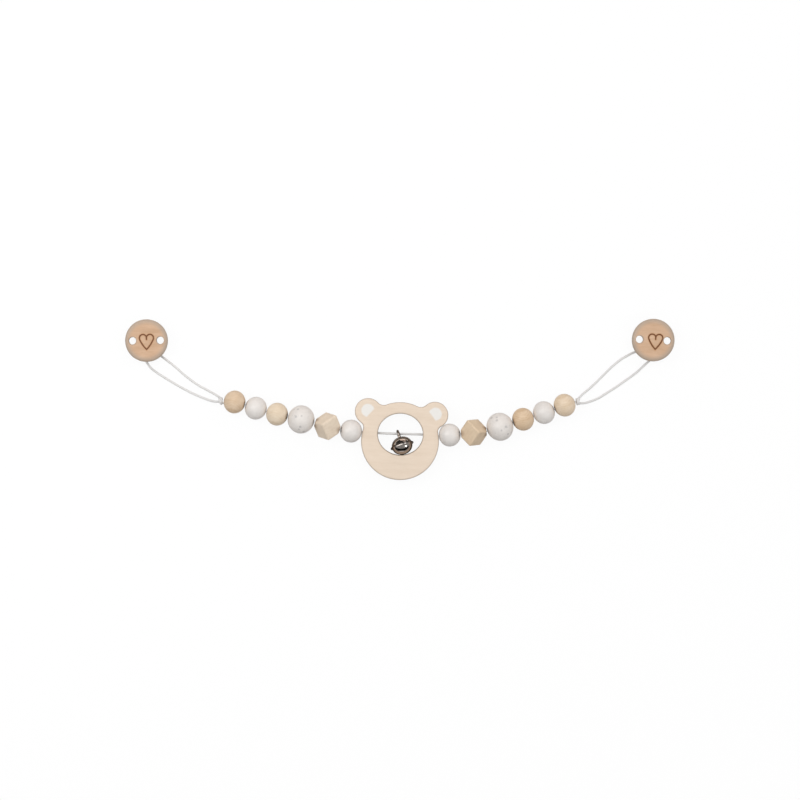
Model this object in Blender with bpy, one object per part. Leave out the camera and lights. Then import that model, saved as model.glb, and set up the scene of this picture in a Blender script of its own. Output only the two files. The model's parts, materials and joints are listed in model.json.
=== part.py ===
"""Pram chain toy: a wooden bear ring with a bell, twelve beads and two wooden clips on one cord.

The toy lies on a flat surface at z = 0. X runs along the chain, Y towards the clips' jaws and Z up.
Each side of the chain is laid out from the bear outwards, one bead after the other.
"""
import math
from collections import namedtuple

import bmesh
import bpy
from mathutils import Matrix, Vector

# Gaps, cuts and shading
PIECE_GAP = 0.0003
CUT_OVERRUN = 0.001
SHARP_ANGLE = math.radians(40)

# Cord and bores
CORD_DIAMETER = 0.002
CORD_POINT_SPACING = 0.0040
STRAIGHT_CORD_SPACING = 0.0060
CORD_BEVEL_STEPS = 2
ROUTE_STEPS = 8
CORD_END_SHARE = 0.45
BORE_DIAMETER = 0.004
BORE_SIDES = 12

# Bear ring
BEAR_CENTER_Y = -0.0368
BEAR_TURN = math.radians(-3.2)
BEAR_THICKNESS = 0.013
HEAD_RADIUS = 0.0344
EAR_RADIUS = 0.0117
EAR_OFFSET_X = 0.0296
EAR_OFFSET_Y = 0.0247
EAR_FILLET = 0.004
OPENING_HALF_WIDTH = 0.0200
OPENING_HALF_HEIGHT = 0.0183
OPENING_RISE = 0.0060
BEAR_EDGE_ROUND = 0.0012
BEAR_EDGE_STEPS = 2
HEAD_STEPS = 12
EAR_STEPS = 10
FILLET_STEPS = 4
CROWN_STEPS = 3
CORD_LIFT_IN_BEAR = 0.0009

# Beads
SMALL_BEAD_DIAMETER = 0.0203
SMALL_BEAD_LENGTH = 0.0192
SPECKLED_BEAD_DIAMETER = 0.0250
SPECKLED_BEAD_LENGTH = 0.0236
CUBE_EDGE = 0.0170
CUBE_LENGTH = 0.0229
CUBE_ROUND = 0.0015
CUBE_ROUND_STEPS = 3
BEAD_SIDES = 18
BEAD_ARC_STEPS = 8
BEAD_CHAMFER = 0.0004
BEAR_BEAD_GAP = 0.0007
CUBE_BEAD_GAP = {"left": 0.0008, "right": 0.0007}
BEAD_GAP = {"left": 0.0005, "right": 0.0003}

# Chain layout, from the bear outwards: how each bead is turned sideways and up
SIDE_SIGN = {"left": -1, "right": 1}
SIDEWAYS = {
    "left": [math.radians(angle) for angle in (5.5, 17, 12, 12.5, 19, 13.5)],
    "right": [math.radians(angle) for angle in (7.5, 5, 19.5, 16, 19.5, 20)],
}
UPWARDS = [math.radians(angle) for angle in (16.3, 0.9, -3.8, -7.2, 5.3, -5.0)]
CUBE_PLACE = 1

# Knots
KNOT_LENGTH = 0.0042
KNOT_DIAMETER = 0.0044
KNOT_WAIST_SHARE = 0.8
KNOT_SIDES = 12
KNOT_STEPS = 10

# Cord loops: centres of the route from the knot to the clip's bar and back, as outward, upward
# and height above the surface, measured from the knot's centre in plan
LOOP_ROUTE = {
    "left": [
        (0.0024, 0.0013, 0.0090), (0.0059, 0.0037, 0.0069), (0.0102, 0.0061, 0.0047),
        (0.0147, 0.0087, 0.0029), (0.0192, 0.0111, 0.0018), (0.0250, 0.0148, 0.0012),
        (0.0325, 0.0205, 0.0011), (0.0414, 0.0283, 0.0011), (0.0503, 0.0353, 0.0014),
        (0.0547, 0.0387, 0.0019), (0.0582, 0.0414, 0.0024), (0.0622, 0.0446, 0.0031),
        (0.0659, 0.0462, 0.0043), (0.0687, 0.0451, 0.0052), (0.0696, 0.0421, 0.0061),
        (0.0691, 0.0386, 0.0063), (0.0677, 0.0349, 0.0059), (0.0657, 0.0314, 0.0046),
        (0.0632, 0.0277, 0.0028), (0.0591, 0.0242, 0.0015), (0.0503, 0.0185, 0.0011),
        (0.0414, 0.0131, 0.0011), (0.0325, 0.0081, 0.0011), (0.0236, 0.0037, 0.0014),
        (0.0160, 0.0005, 0.0026), (0.0096, -0.0016, 0.0050), (0.0056, -0.0021, 0.0070),
        (0.0024, -0.0013, 0.0090),
    ],
    "right": [
        (0.0019, 0.0019, 0.0090), (0.0044, 0.0049, 0.0071), (0.0087, 0.0084, 0.0049),
        (0.0130, 0.0122, 0.0030), (0.0174, 0.0163, 0.0018), (0.0228, 0.0216, 0.0012),
        (0.0308, 0.0295, 0.0011), (0.0396, 0.0366, 0.0011), (0.0485, 0.0417, 0.0013),
        (0.0532, 0.0435, 0.0018), (0.0576, 0.0450, 0.0023), (0.0616, 0.0465, 0.0029),
        (0.0653, 0.0478, 0.0042), (0.0683, 0.0469, 0.0052), (0.0693, 0.0441, 0.0061),
        (0.0687, 0.0405, 0.0063), (0.0663, 0.0372, 0.0056), (0.0625, 0.0337, 0.0043),
        (0.0576, 0.0291, 0.0026), (0.0530, 0.0248, 0.0015), (0.0441, 0.0183, 0.0011),
        (0.0352, 0.0121, 0.0011), (0.0263, 0.0064, 0.0011), (0.0184, 0.0017, 0.0020),
        (0.0106, -0.0013, 0.0043), (0.0059, -0.0022, 0.0068), (0.0024, -0.0014, 0.0090),
    ],
}

# Clip: place of the disc from the knot, and its turn in the plane
CLIP_OUTWARD = {"left": 0.0661, "right": 0.0672}
CLIP_UPWARD = {"left": 0.0515, "right": 0.0535}
CLIP_TURN = {"left": math.radians(1), "right": math.radians(-3)}

# Clip disc, with its vents and the blind holes of the rivets
DISC_RADIUS = 0.0188
DISC_THICKNESS = 0.0055
DISC_TOP_ROUND = 0.0016
DISC_BACK_ROUND = 0.0006
DISC_ROUND_STEPS = 3
DISC_SIDES = 36
VENT_DIAMETER = 0.0065
VENT_SPACING = 0.0246
VENT_SIDES = 16
RIVET_HOLE_DEPTH = 0.0030

# Clip plate: a folded sheet with a cord bar at its lower end and two ears for the pin
SHEET = 0.0008
PLATE_HALF_WIDTH = 0.0080
PLATE_HEIGHT = 0.0070
BAR_HEIGHT = 0.0043
BAR_LOW_Y = -0.0128
SLOT_LOW_Y = -0.0103
SLOT_HIGH_Y = -0.0029
SLOT_HALF_WIDTH = 0.0060
SLOT_CORNER = 0.0020
JOG_LOW_Y = -0.0022
JOG_HIGH_Y = 0.0008
JAW_Y = 0.0160
JAW_LIP = 0.0017
BAR_CORNER = 0.0025
EAR_HALF_LENGTH = 0.0028
EAR_ROUND_STEPS = 8

# Clip pin, lever, pad and rivets
PIN_Y = 0.0112
PIN_HEIGHT = 0.0025
PIN_DIAMETER = 0.0018
PIN_CLEARANCE = 0.0003
PIN_HEAD_DIAMETER = 0.0030
PIN_HEAD_THICKNESS = 0.0005
PIN_SIDES = 16
LEVER_HALF_WIDTH = 0.0060
HUB_RADIUS = 0.0021
HUB_OFFSET = 0.0002
HUB_SIDES = 24
TONGUE_TIP_Y = -0.0018
TONGUE_LIFT_Y = 0.0004
TONGUE_LIFT = 0.0007
TONGUE_CORNER = 0.0030
CORNER_STEPS = 4
PAD_LOW_Y = 0.0090
PAD_HALF_WIDTH = 0.0066
PAD_TEETH = 5
TOOTH_DEPTH = 0.0005
PAD_BASE = 0.0009
RIVET_DIAMETER = 0.0020
RIVET_HEAD_DIAMETER = 0.0032
RIVET_HEAD_THICKNESS = 0.0008
RIVET_LENGTH = 0.0030
RIVET_SIDES = 14
RIVET_YS = (0.0032, 0.0068)

# Bell
BELL_RADIUS = 0.0093
BELL_HALF_HEIGHT = 0.0080
BELL_WALL = 0.0005
BELL_FLANGE_RADIUS = 0.0106
BELL_FLANGE_THICKNESS = 0.0004
BELL_SIDES = 24
BELL_STEPS = 5
BELL_ALONG_CORD = -0.0017
BELL_TURN = math.radians(21)
BELL_REST_GAP = 0.0002
BELL_REST_STEPS = 16
BELL_SLOT_WIDTH = 0.0016
BELL_SLOT_REACH = 0.0055
BELL_SLOT_HOLE_DIAMETER = 0.0032
BELL_LOOP_RADIUS = 0.0030
BELL_LOOP_WIRE = 0.0014
BELL_LOOP_LEG = 0.0030
BELL_LOOP_DEPTH = 0.0012
BELL_LOOP_STEPS = 12
PELLET_DIAMETER = 0.0050
PELLET_SIDES = 14
PELLET_STEPS = 8

X_AXIS = Vector((1, 0, 0))
Y_AXIS = Vector((0, 1, 0))
Z_AXIS = Vector((0, 0, 1))

Station = namedtuple("Station", "hinge centre direction half_length gap_before gap_after")
Bead = namedtuple("Bead", "name kind")

# World matrix of each placed object, so that children can be placed under it
placed = {}


# Scene, materials and objects

def clear_scene():
    for old in list(bpy.data.objects):
        bpy.data.objects.remove(old, do_unlink=True)


def make_material(name, colour, roughness, metallic=0.0):
    made = bpy.data.materials.new(name)
    made.use_nodes = True
    shader = made.node_tree.nodes["Principled BSDF"]
    shader.inputs["Base Color"].default_value = (*colour, 1.0)
    shader.inputs["Roughness"].default_value = roughness
    shader.inputs["Metallic"].default_value = metallic
    return made


def maple_material(name):
    return make_material(name, (0.80, 0.68, 0.52), 0.55)


def beech_material(name):
    return make_material(name, (0.66, 0.46, 0.28), 0.55)


def white_paint_material(name):
    return make_material(name, (0.74, 0.72, 0.71), 0.45)


def speckled_paint_material(name):
    return make_material(name, (0.72, 0.71, 0.70), 0.45)


def cord_material(name):
    return make_material(name, (0.80, 0.80, 0.79), 0.85)


def bell_material(name):
    return make_material(name, (0.24, 0.20, 0.18), 0.18, 1.0)


def steel_material(name):
    return make_material(name, (0.62, 0.62, 0.61), 0.28, 1.0)


def pad_material(name):
    return make_material(name, (0.82, 0.81, 0.78), 0.5)


def place(thing, world, parent=None):
    """Parent an object and give it a world matrix."""
    thing.parent = parent
    parent_world = placed[parent.name] if parent else Matrix.Identity(4)
    thing.matrix_basis = parent_world.inverted() @ world
    placed[thing.name] = world


def add_object(name, data, world, parent, material=None):
    made = bpy.data.objects.new(name, data)
    bpy.context.scene.collection.objects.link(made)
    place(made, world, parent)
    if material:
        made.data.materials.append(material)
    return made


def add_empty(name, world, parent=None):
    return add_object(name, None, world, parent)


def frame_at(origin, x_direction, up=Z_AXIS):
    """A frame at origin with its X axis along x_direction and its Z axis as near to up as it can be."""
    x_axis = x_direction.normalized()
    y_axis = up.cross(x_axis).normalized()
    z_axis = x_axis.cross(y_axis)
    turned = Matrix((x_axis, y_axis, z_axis)).transposed().to_4x4()
    return Matrix.Translation(origin) @ turned


# Mesh tools

def finish_mesh(name, mesh_data, smooth=True):
    bmesh.ops.recalc_face_normals(mesh_data, faces=mesh_data.faces)
    made = bpy.data.meshes.new(name)
    mesh_data.to_mesh(made)
    mesh_data.free()
    if smooth:
        made.shade_smooth()
        made.set_sharp_from_angle(angle=SHARP_ANGLE)
    return made


def turned_mesh(name, profile, sides, closed=False, axis="z"):
    """Turn a profile of (radius, height) points round an axis; a radius of zero is a pole."""
    mesh_data = bmesh.new()
    rings = []
    for radius, height in profile:
        count = sides if radius > 0 else 1
        ring = []
        for step in range(count):
            angle = math.tau * step / sides
            across = radius * math.cos(angle)
            aside = radius * math.sin(angle)
            spot = (height, across, aside) if axis == "x" else (across, aside, height)
            ring.append(mesh_data.verts.new(spot))
        rings.append(ring)
    pairs = list(zip(rings, rings[1:]))
    if closed:
        pairs.append((rings[-1], rings[0]))
    for lower, upper in pairs:
        for step in range(sides):
            after = (step + 1) % sides
            corners = []
            for corner in (lower[step % len(lower)], lower[after % len(lower)],
                           upper[after % len(upper)], upper[step % len(upper)]):
                if corner not in corners:
                    corners.append(corner)
            mesh_data.faces.new(corners)
    for ring in (rings[0], rings[-1]):
        if len(ring) > 1 and not closed:
            mesh_data.faces.new(ring)
    return finish_mesh(name, mesh_data)


def add_block(mesh_data, ends):
    """A block between two like outlines of points."""
    layers = [[mesh_data.verts.new(spot) for spot in end] for end in ends]
    mesh_data.faces.new(layers[0])
    mesh_data.faces.new(layers[1])
    for step in range(len(layers[0])):
        after = (step + 1) % len(layers[0])
        mesh_data.faces.new((layers[0][step], layers[0][after], layers[1][after], layers[1][step]))


def add_slab(mesh_data, outline, x_low, x_high):
    """A block over an outline of (y, z) points, from one place along X to another."""
    add_block(mesh_data, [[(x, y, z) for y, z in outline] for x in (x_low, x_high)])


def add_prism(mesh_data, outline, z_low, z_high):
    """A block over an outline of (x, y) points, from one height to another."""
    add_block(mesh_data, [[(x, y, z) for x, y in outline] for z in (z_low, z_high)])


def extruded_mesh(name, outline, half_width):
    """Extrude an outline of (y, z) points along X, to half_width on each side."""
    mesh_data = bmesh.new()
    add_slab(mesh_data, outline, -half_width, half_width)
    return finish_mesh(name, mesh_data, False)


def folded_outline(points, thickness):
    """Outline of a sheet whose middle line runs through the given points."""
    middle = [Vector(point) for point in points]
    near, far = [], []
    for step, point in enumerate(middle):
        before = (point - middle[step - 1]).normalized() if step else None
        after = (middle[step + 1] - point).normalized() if step + 1 < len(middle) else None
        sides = [Vector((-way.y, way.x)) for way in (before, after) if way]
        mitre = sum(sides, Vector((0, 0))).normalized()
        reach = thickness / 2 / mitre.dot(sides[0])
        near.append(point + mitre * reach)
        far.append(point - mitre * reach)
    return [tuple(point) for point in near + far[::-1]]


def arc_points(centre, radius, start, end, steps):
    """Points of an arc, both ends included."""
    points = []
    for step in range(steps + 1):
        angle = start + (end - start) * step / steps
        points.append((centre[0] + radius * math.cos(angle), centre[1] + radius * math.sin(angle)))
    return points


def slot_cutter():
    """The cord slot: a rectangle with rounded corners."""
    mesh_data = bmesh.new()
    reach = SLOT_HALF_WIDTH - SLOT_CORNER
    low, high = SLOT_LOW_Y + SLOT_CORNER, SLOT_HIGH_Y - SLOT_CORNER
    corners = [(reach, high), (-reach, high), (-reach, low), (reach, low)]
    outline = []
    for quarter, centre in enumerate(corners):
        start = quarter * math.pi / 2
        outline += arc_points(centre, SLOT_CORNER, start, start + math.pi / 2, CORNER_STEPS)
    add_prism(mesh_data, outline, BAR_HEIGHT - SHEET, PLATE_HEIGHT)
    return finish_mesh("cord_slot", mesh_data, False)


def corner_cutter(low_y, half_width, corner, z_low, z_high):
    """What is cut away to round the two corners at the lower end of a strip."""
    mesh_data = bmesh.new()
    for side in (-1, 1):
        centre = (side * (half_width - corner), low_y + corner)
        start = -math.pi / 2
        arc = arc_points(centre, corner, start, start + side * math.pi / 2, CORNER_STEPS)
        beyond = side * (half_width + CUT_OVERRUN)
        below = low_y - CUT_OVERRUN
        outline = [*arc, (beyond, centre[1]), (beyond, below), (centre[0], below)]
        add_prism(mesh_data, outline, z_low, z_high)
    return finish_mesh("corners", mesh_data, False)


def cylinders_mesh(name, places, radius, sides):
    """One mesh of round rods; each place is (start point, end point)."""
    mesh_data = bmesh.new()
    for start, end in places:
        way = Vector(end) - Vector(start)
        turned = way.to_track_quat("Z", "Y").to_matrix().to_4x4()
        middle = (Vector(start) + Vector(end)) / 2
        bmesh.ops.create_cone(
            mesh_data, cap_ends=True, segments=sides, radius1=radius, radius2=radius,
            depth=way.length, matrix=Matrix.Translation(middle) @ turned)
    return finish_mesh(name, mesh_data)


def combine(target, cutter_mesh, operation="DIFFERENCE"):
    """Cut a mesh from target, or join it on, in target's own frame."""
    cutter = add_object(f"{target.name}_{cutter_mesh.name}", cutter_mesh, placed[target.name], target)
    cutter.hide_render = True
    cutter.display_type = "WIRE"
    step = target.modifiers.new(cutter_mesh.name, "BOOLEAN")
    step.operation = operation
    step.object = cutter
    step.solver = "EXACT"


def round_line(name, points, diameter, end_share=1.0):
    """A round cord or wire with closed ends through the points; the ends can be eased."""
    line = bpy.data.curves.new(name, "CURVE")
    line.dimensions = "3D"
    line.bevel_depth = diameter / 2
    line.bevel_resolution = CORD_BEVEL_STEPS
    line.use_fill_caps = True
    run = line.splines.new("POLY")
    run.points.add(len(points) - 1)
    for spot, point in zip(run.points, points):
        spot.co = (*point, 1.0)
    run.points[0].radius = end_share
    run.points[-1].radius = end_share
    return line


def straight_cord(name, length, world, parent):
    """A straight cord along its frame's X axis, with eased ends."""
    start = PIECE_GAP / 2
    end = length - PIECE_GAP / 2
    ease = CORD_DIAMETER / 2
    count = max(1, round((length - CORD_DIAMETER) / STRAIGHT_CORD_SPACING))
    inner = [start + ease + (end - start - 2 * ease) * step / count for step in range(count + 1)]
    points = [(spot, 0, 0) for spot in (start, *inner, end)]
    line = round_line(name, points, CORD_DIAMETER, CORD_END_SHARE)
    add_object(name, line, world, parent, cord_material(name))


def smooth_route(route, spacing):
    """Points at an even spacing along a smooth curve through the route's points."""
    known = [Vector(point) for point in route]
    known = [2 * known[0] - known[1], *known, 2 * known[-1] - known[-2]]
    fine = []
    for start in range(len(known) - 3):
        before, first, second, after = known[start:start + 4]
        for step in range(ROUTE_STEPS):
            share = step / ROUTE_STEPS
            fine.append(0.5 * (
                2 * first + (second - before) * share
                + (2 * before - 5 * first + 4 * second - after) * share ** 2
                + (3 * first - before - 3 * second + after) * share ** 3))
    fine.append(known[-2])
    travelled = [0.0]
    for here, there in zip(fine, fine[1:]):
        travelled.append(travelled[-1] + (there - here).length)
    count = round(travelled[-1] / spacing)
    points, at = [], 0
    for step in range(count + 1):
        wanted = travelled[-1] * step / count
        while at < len(fine) - 2 and travelled[at + 1] < wanted:
            at += 1
        share = (wanted - travelled[at]) / (travelled[at + 1] - travelled[at])
        points.append(fine[at].lerp(fine[at + 1], share))
    return points


# Bear ring

def bear_frame():
    return Matrix.Translation((0, BEAR_CENTER_Y, 0)) @ Matrix.Rotation(BEAR_TURN, 4, "Z")


def bore_height():
    """Height of the cord where it runs through the bear."""
    return BEAR_THICKNESS / 2 + CORD_LIFT_IN_BEAR


def bore_mouth_reach():
    """Distance from the bear's middle line to the mouth of its side bore."""
    return math.sqrt(HEAD_RADIUS ** 2 - OPENING_RISE ** 2)


def head_outline():
    """Points and outward normals of the head and ears, anticlockwise from the chin."""
    ear = Vector((EAR_OFFSET_X, EAR_OFFSET_Y))
    ear_angle = math.atan2(ear.y, ear.x)
    reach = HEAD_RADIUS + EAR_FILLET
    ear_reach = EAR_RADIUS + EAR_FILLET
    spread = math.acos((ear.length ** 2 + reach ** 2 - ear_reach ** 2) / (2 * ear.length * reach))
    low, high = ear_angle - spread, ear_angle + spread
    low_fillet = Vector((math.cos(low), math.sin(low))) * reach
    high_fillet = Vector((math.cos(high), math.sin(high))) * reach
    to_low, to_high = low_fillet - ear, high_fillet - ear
    low_turn = math.atan2(to_low.y, to_low.x)
    high_turn = math.atan2(to_high.y, to_high.x)
    # centre, radius, start angle, end angle, steps, and which way the normal points
    runs = [
        (Vector((0, 0)), HEAD_RADIUS, -math.pi / 2, low, HEAD_STEPS, 1),
        (low_fillet, EAR_FILLET, low + math.pi, low_turn + math.pi, FILLET_STEPS, -1),
        (ear, EAR_RADIUS, low_turn, high_turn, EAR_STEPS, 1),
        (high_fillet, EAR_FILLET, high_turn - math.pi, high - math.pi, FILLET_STEPS, -1),
        (Vector((0, 0)), HEAD_RADIUS, high, math.pi / 2, CROWN_STEPS, 1),
    ]
    half = []
    for centre, radius, start, end, steps, sense in runs:
        for step in range(steps):
            angle = start + (end - start) * step / steps
            way = Vector((math.cos(angle), math.sin(angle)))
            half.append((centre + way * radius, way * sense))
    crown = (Vector((0, HEAD_RADIUS)), Vector((0, 1)))
    mirrored = [(Vector((-point.x, point.y)), Vector((-way.x, way.y))) for point, way in half[:0:-1]]
    return [*half, crown, *mirrored]


def edge_ring(point, outward):
    """Section of a rounded vertical wall, from the back face to the front face."""
    places = []
    for step in range(BEAR_EDGE_STEPS + 1):
        angle = math.pi / 2 * step / BEAR_EDGE_STEPS
        inset = BEAR_EDGE_ROUND * (1 - math.sin(angle))
        places.append((point - outward * inset, BEAR_EDGE_ROUND * (1 - math.cos(angle))))
    places += [(spot, BEAR_THICKNESS - height) for spot, height in places[::-1]]
    return [(spot.x, spot.y, height) for spot, height in places]


def opening_section(toward):
    """Section of the opening's wall in the given direction from the opening's middle."""
    reach = 1 / math.hypot(toward.x / OPENING_HALF_WIDTH, toward.y / OPENING_HALF_HEIGHT)
    inner = toward * reach
    inward = -Vector((inner.x / OPENING_HALF_WIDTH ** 2, inner.y / OPENING_HALF_HEIGHT ** 2))
    return edge_ring(Vector((0, OPENING_RISE)) + inner, inward.normalized())


def bear_mesh():
    """The plate with its oval opening: one rounded section at each point of the outline."""
    mesh_data = bmesh.new()
    sections = []
    for point, outward in head_outline():
        toward = (point - Vector((0, OPENING_RISE))).normalized()
        section = edge_ring(point, outward) + opening_section(toward)[::-1]
        sections.append([mesh_data.verts.new(spot) for spot in section])
    for here, there in zip(sections, sections[1:] + sections[:1]):
        for step in range(len(here)):
            after = (step + 1) % len(here)
            mesh_data.faces.new((here[step], there[step], there[after], here[after]))
    return finish_mesh("bear_ring", mesh_data)


def build_bear(origin):
    world = placed[origin.name] @ bear_frame()
    ring = add_object("bear_ring", bear_mesh(), world, origin, maple_material("bear_ring"))
    reach = bore_mouth_reach() + EAR_RADIUS
    height = BEAR_THICKNESS / 2
    ends = ((-reach, OPENING_RISE, height), (reach, OPENING_RISE, height))
    combine(ring, cylinders_mesh("side_bore", [ends], BORE_DIAMETER / 2, BORE_SIDES))
    return ring


def build_cord_in_bear(ring):
    """The cord from one bore mouth to the other, across the opening."""
    reach = bore_mouth_reach() + BEAR_BEAD_GAP / 2
    start = placed[ring.name] @ Vector((-reach, OPENING_RISE, bore_height()))
    end = placed[ring.name] @ Vector((reach, OPENING_RISE, bore_height()))
    straight_cord("cord_center", 2 * reach, frame_at(start, end - start), ring)


# Bell

def bell_in_ring(tilt):
    """Where the bell's loop meets the cord and the frame of its body, both in the ring's frame.

    The body's Z axis points to its loop, and tilt raises the body above the cord.
    """
    cord_spot = Vector((BELL_ALONG_CORD, OPENING_RISE, bore_height()))
    lying = Matrix.Rotation(math.pi / 2 + tilt, 3, "X").transposed()
    turned = Matrix.Rotation(BELL_TURN, 3, "Z") @ lying
    body = cord_spot - turned @ Vector((0, 0, BELL_HALF_HEIGHT + BELL_LOOP_LEG))
    return cord_spot, Matrix.Translation(body) @ turned.to_4x4()


def bell_is_clear(tilt):
    """Whether the body clears the opening's edge, and the flange the surface below."""
    body = bell_in_ring(tilt)[1]
    flange_low = BELL_FLANGE_RADIUS * math.cos(tilt) + BELL_FLANGE_THICKNESS * math.sin(tilt)
    if body.translation.z < flange_low + BELL_REST_GAP:
        return False
    to_body = body.inverted()
    radius, half_height = BELL_RADIUS + BELL_REST_GAP, BELL_HALF_HEIGHT + BELL_REST_GAP
    for step in range(BELL_REST_STEPS):
        angle = -math.pi * step / BELL_REST_STEPS
        for point in opening_section(Vector((math.cos(angle), math.sin(angle)))):
            near = to_body @ Vector(point)
            if math.hypot(near.x / radius, near.y / radius, near.z / half_height) < 1:
                return False
    return True


def bell_tilt():
    """The tilt at which the bell comes to rest, found by halving."""
    low, high = 0.0, math.pi / 2
    for _ in range(BELL_REST_STEPS):
        middle = (low + high) / 2
        if bell_is_clear(middle):
            high = middle
        else:
            low = middle
    return high


def bell_frame(ring):
    """The cord's place in the bell's loop and the frame of the bell's body."""
    cord_spot, body = bell_in_ring(bell_tilt())
    return placed[ring.name] @ cord_spot, placed[ring.name] @ body


def shell_profile(sense):
    """Half of the bell's body, from its inner pole round the flange to its outer pole."""
    seam = PIECE_GAP / 2
    inner_radius, inner_height = BELL_RADIUS - BELL_WALL, BELL_HALF_HEIGHT - BELL_WALL
    flange_top = seam + BELL_FLANGE_THICKNESS
    inner_start = math.asin(seam / inner_height)
    outer_start = math.asin(flange_top / BELL_HALF_HEIGHT)
    inner = arc_share(inner_radius, inner_height, math.pi / 2, inner_start)
    outer = arc_share(BELL_RADIUS, BELL_HALF_HEIGHT, outer_start, math.pi / 2)
    flange = [(BELL_FLANGE_RADIUS, seam), (BELL_FLANGE_RADIUS, flange_top)]
    return [(radius, sense * height) for radius, height in [*inner, *flange, *outer]]


def arc_share(radius, height, start, end):
    """Points of a quarter ellipse between two angles; the pole lies on the axis itself."""
    points = []
    for step in range(BELL_STEPS + 1):
        angle = start + (end - start) * step / BELL_STEPS
        on_pole = math.isclose(angle, math.pi / 2)
        points.append((0.0 if on_pole else radius * math.cos(angle), height * math.sin(angle)))
    return points


def loop_leg_places():
    """The two round holes that the bell's loop passes through."""
    top = BELL_HALF_HEIGHT + CUT_OVERRUN
    foot = BELL_HALF_HEIGHT / 2
    return [((0, side * BELL_LOOP_RADIUS, foot), (0, side * BELL_LOOP_RADIUS, top)) for side in (-1, 1)]


def bell_slot_mesh():
    """The slot across the bell's mouth."""
    half = BELL_SLOT_WIDTH / 2
    low, high = -BELL_HALF_HEIGHT - CUT_OVERRUN, -BELL_HALF_HEIGHT / 2
    outline = [(-half, low), (half, low), (half, high), (-half, high)]
    return extruded_mesh("mouth_slot", outline, BELL_SLOT_REACH)


def bell_hole_places():
    """The round ends of the slot."""
    depth = BELL_HALF_HEIGHT + CUT_OVERRUN
    places = []
    for side in (-1, 1):
        x = side * BELL_SLOT_REACH
        places.append(((x, 0, -depth), (x, 0, -BELL_HALF_HEIGHT / 3)))
    return places


def bell_loop_points():
    """The wire loop: two legs into the shell and a round arch over the cord."""
    foot = BELL_HALF_HEIGHT - BELL_LOOP_DEPTH
    arch = BELL_HALF_HEIGHT + BELL_LOOP_LEG
    points = [(0, BELL_LOOP_RADIUS, foot), (0, BELL_LOOP_RADIUS, (foot + arch) / 2)]
    for y, z in arc_points((0, arch), BELL_LOOP_RADIUS, 0, math.pi, BELL_LOOP_STEPS):
        points.append((0, y, z))
    points += [(0, -BELL_LOOP_RADIUS, (foot + arch) / 2), (0, -BELL_LOOP_RADIUS, foot)]
    return points


def build_bell(ring):
    cord_spot, body = bell_frame(ring)
    pivot_world = frame_at(cord_spot, placed[ring.name].to_3x3() @ X_AXIS)
    pivot = add_empty("bell_pivot", pivot_world, ring)
    upper_mesh = turned_mesh("bell_upper_shell", shell_profile(1), BELL_SIDES)
    lower_mesh = turned_mesh("bell_lower_shell", shell_profile(-1), BELL_SIDES)
    upper = add_object("bell_upper_shell", upper_mesh, body, pivot, bell_material("bell_upper_shell"))
    lower = add_object("bell_lower_shell", lower_mesh, body, pivot, bell_material("bell_lower_shell"))
    leg_radius = BELL_LOOP_WIRE / 2 + PIECE_GAP
    combine(upper, cylinders_mesh("leg_holes", loop_leg_places(), leg_radius, BORE_SIDES))
    combine(lower, bell_slot_mesh())
    hole_radius = BELL_SLOT_HOLE_DIAMETER / 2
    combine(lower, cylinders_mesh("slot_ends", bell_hole_places(), hole_radius, BORE_SIDES))
    wire = round_line("bell_loop", bell_loop_points(), BELL_LOOP_WIRE)
    add_object("bell_loop", wire, body, pivot, bell_material("bell_loop"))
    build_pellet(body, pivot)


def build_pellet(body, pivot):
    """The loose ball at the lowest place inside the shells."""
    radius = PELLET_DIAMETER / 2
    profile = []
    for step in range(PELLET_STEPS + 1):
        angle = math.pi * step / PELLET_STEPS
        on_pole = step in (0, PELLET_STEPS)
        profile.append((0.0 if on_pole else radius * math.sin(angle), -radius * math.cos(angle)))
    down = (body.to_3x3() @ Y_AXIS).normalized()
    down = down if down.z < 0 else -down
    lowest = body.translation + down * (BELL_RADIUS - BELL_WALL - radius - PIECE_GAP)
    ball = turned_mesh("bell_pellet", profile, PELLET_SIDES)
    world = frame_at(lowest, -down, Y_AXIS)
    add_object("bell_pellet", ball, world, pivot, steel_material("bell_pellet"))


# Beads and the cord through them

def chain_beads(side):
    """Names and kinds of one side's beads, from the bear outwards."""
    return [
        Bead(f"white_bead_{side}_inner", "white"),
        Bead(f"cube_bead_{side}", "cube"),
        Bead(f"speckled_bead_{side}", "speckled"),
        Bead(f"wood_bead_{side}_inner", "wood"),
        Bead(f"white_bead_{side}_outer", "white"),
        Bead(f"wood_bead_{side}_outer", "wood"),
    ]


def bead_half_length(kind):
    lengths = {"cube": CUBE_LENGTH, "speckled": SPECKLED_BEAD_LENGTH}
    return lengths.get(kind, SMALL_BEAD_LENGTH) / 2


def bead_gap(side, place):
    """Gap on the bear's side of a bead, counted from the bear outwards."""
    if place == 0:
        return BEAR_BEAD_GAP
    return (CUBE_BEAD_GAP if place in (CUBE_PLACE, CUBE_PLACE + 1) else BEAD_GAP)[side]


def outward_direction(side, sideways, upwards):
    level = math.cos(upwards)
    return Vector((
        SIDE_SIGN[side] * level * math.cos(sideways), level * math.sin(sideways), math.sin(upwards)))


def chain_stations(side):
    """Where each bead and each bend of the cord lies, before the toy's origin is centred."""
    reach = SIDE_SIGN[side] * (bore_mouth_reach() + BEAR_BEAD_GAP / 2)
    hinge = bear_frame() @ Vector((reach, OPENING_RISE, bore_height()))
    stations = []
    for place_number, bead in enumerate(chain_beads(side)):
        way = outward_direction(side, SIDEWAYS[side][place_number], UPWARDS[place_number])
        half = bead_half_length(bead.kind)
        before, after = bead_gap(side, place_number), bead_gap(side, place_number + 1)
        centre = hinge + way * (before / 2 + half)
        stations.append(Station(hinge, centre, way, half, before, after))
        hinge = centre + way * (half + after / 2)
    return stations


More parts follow.
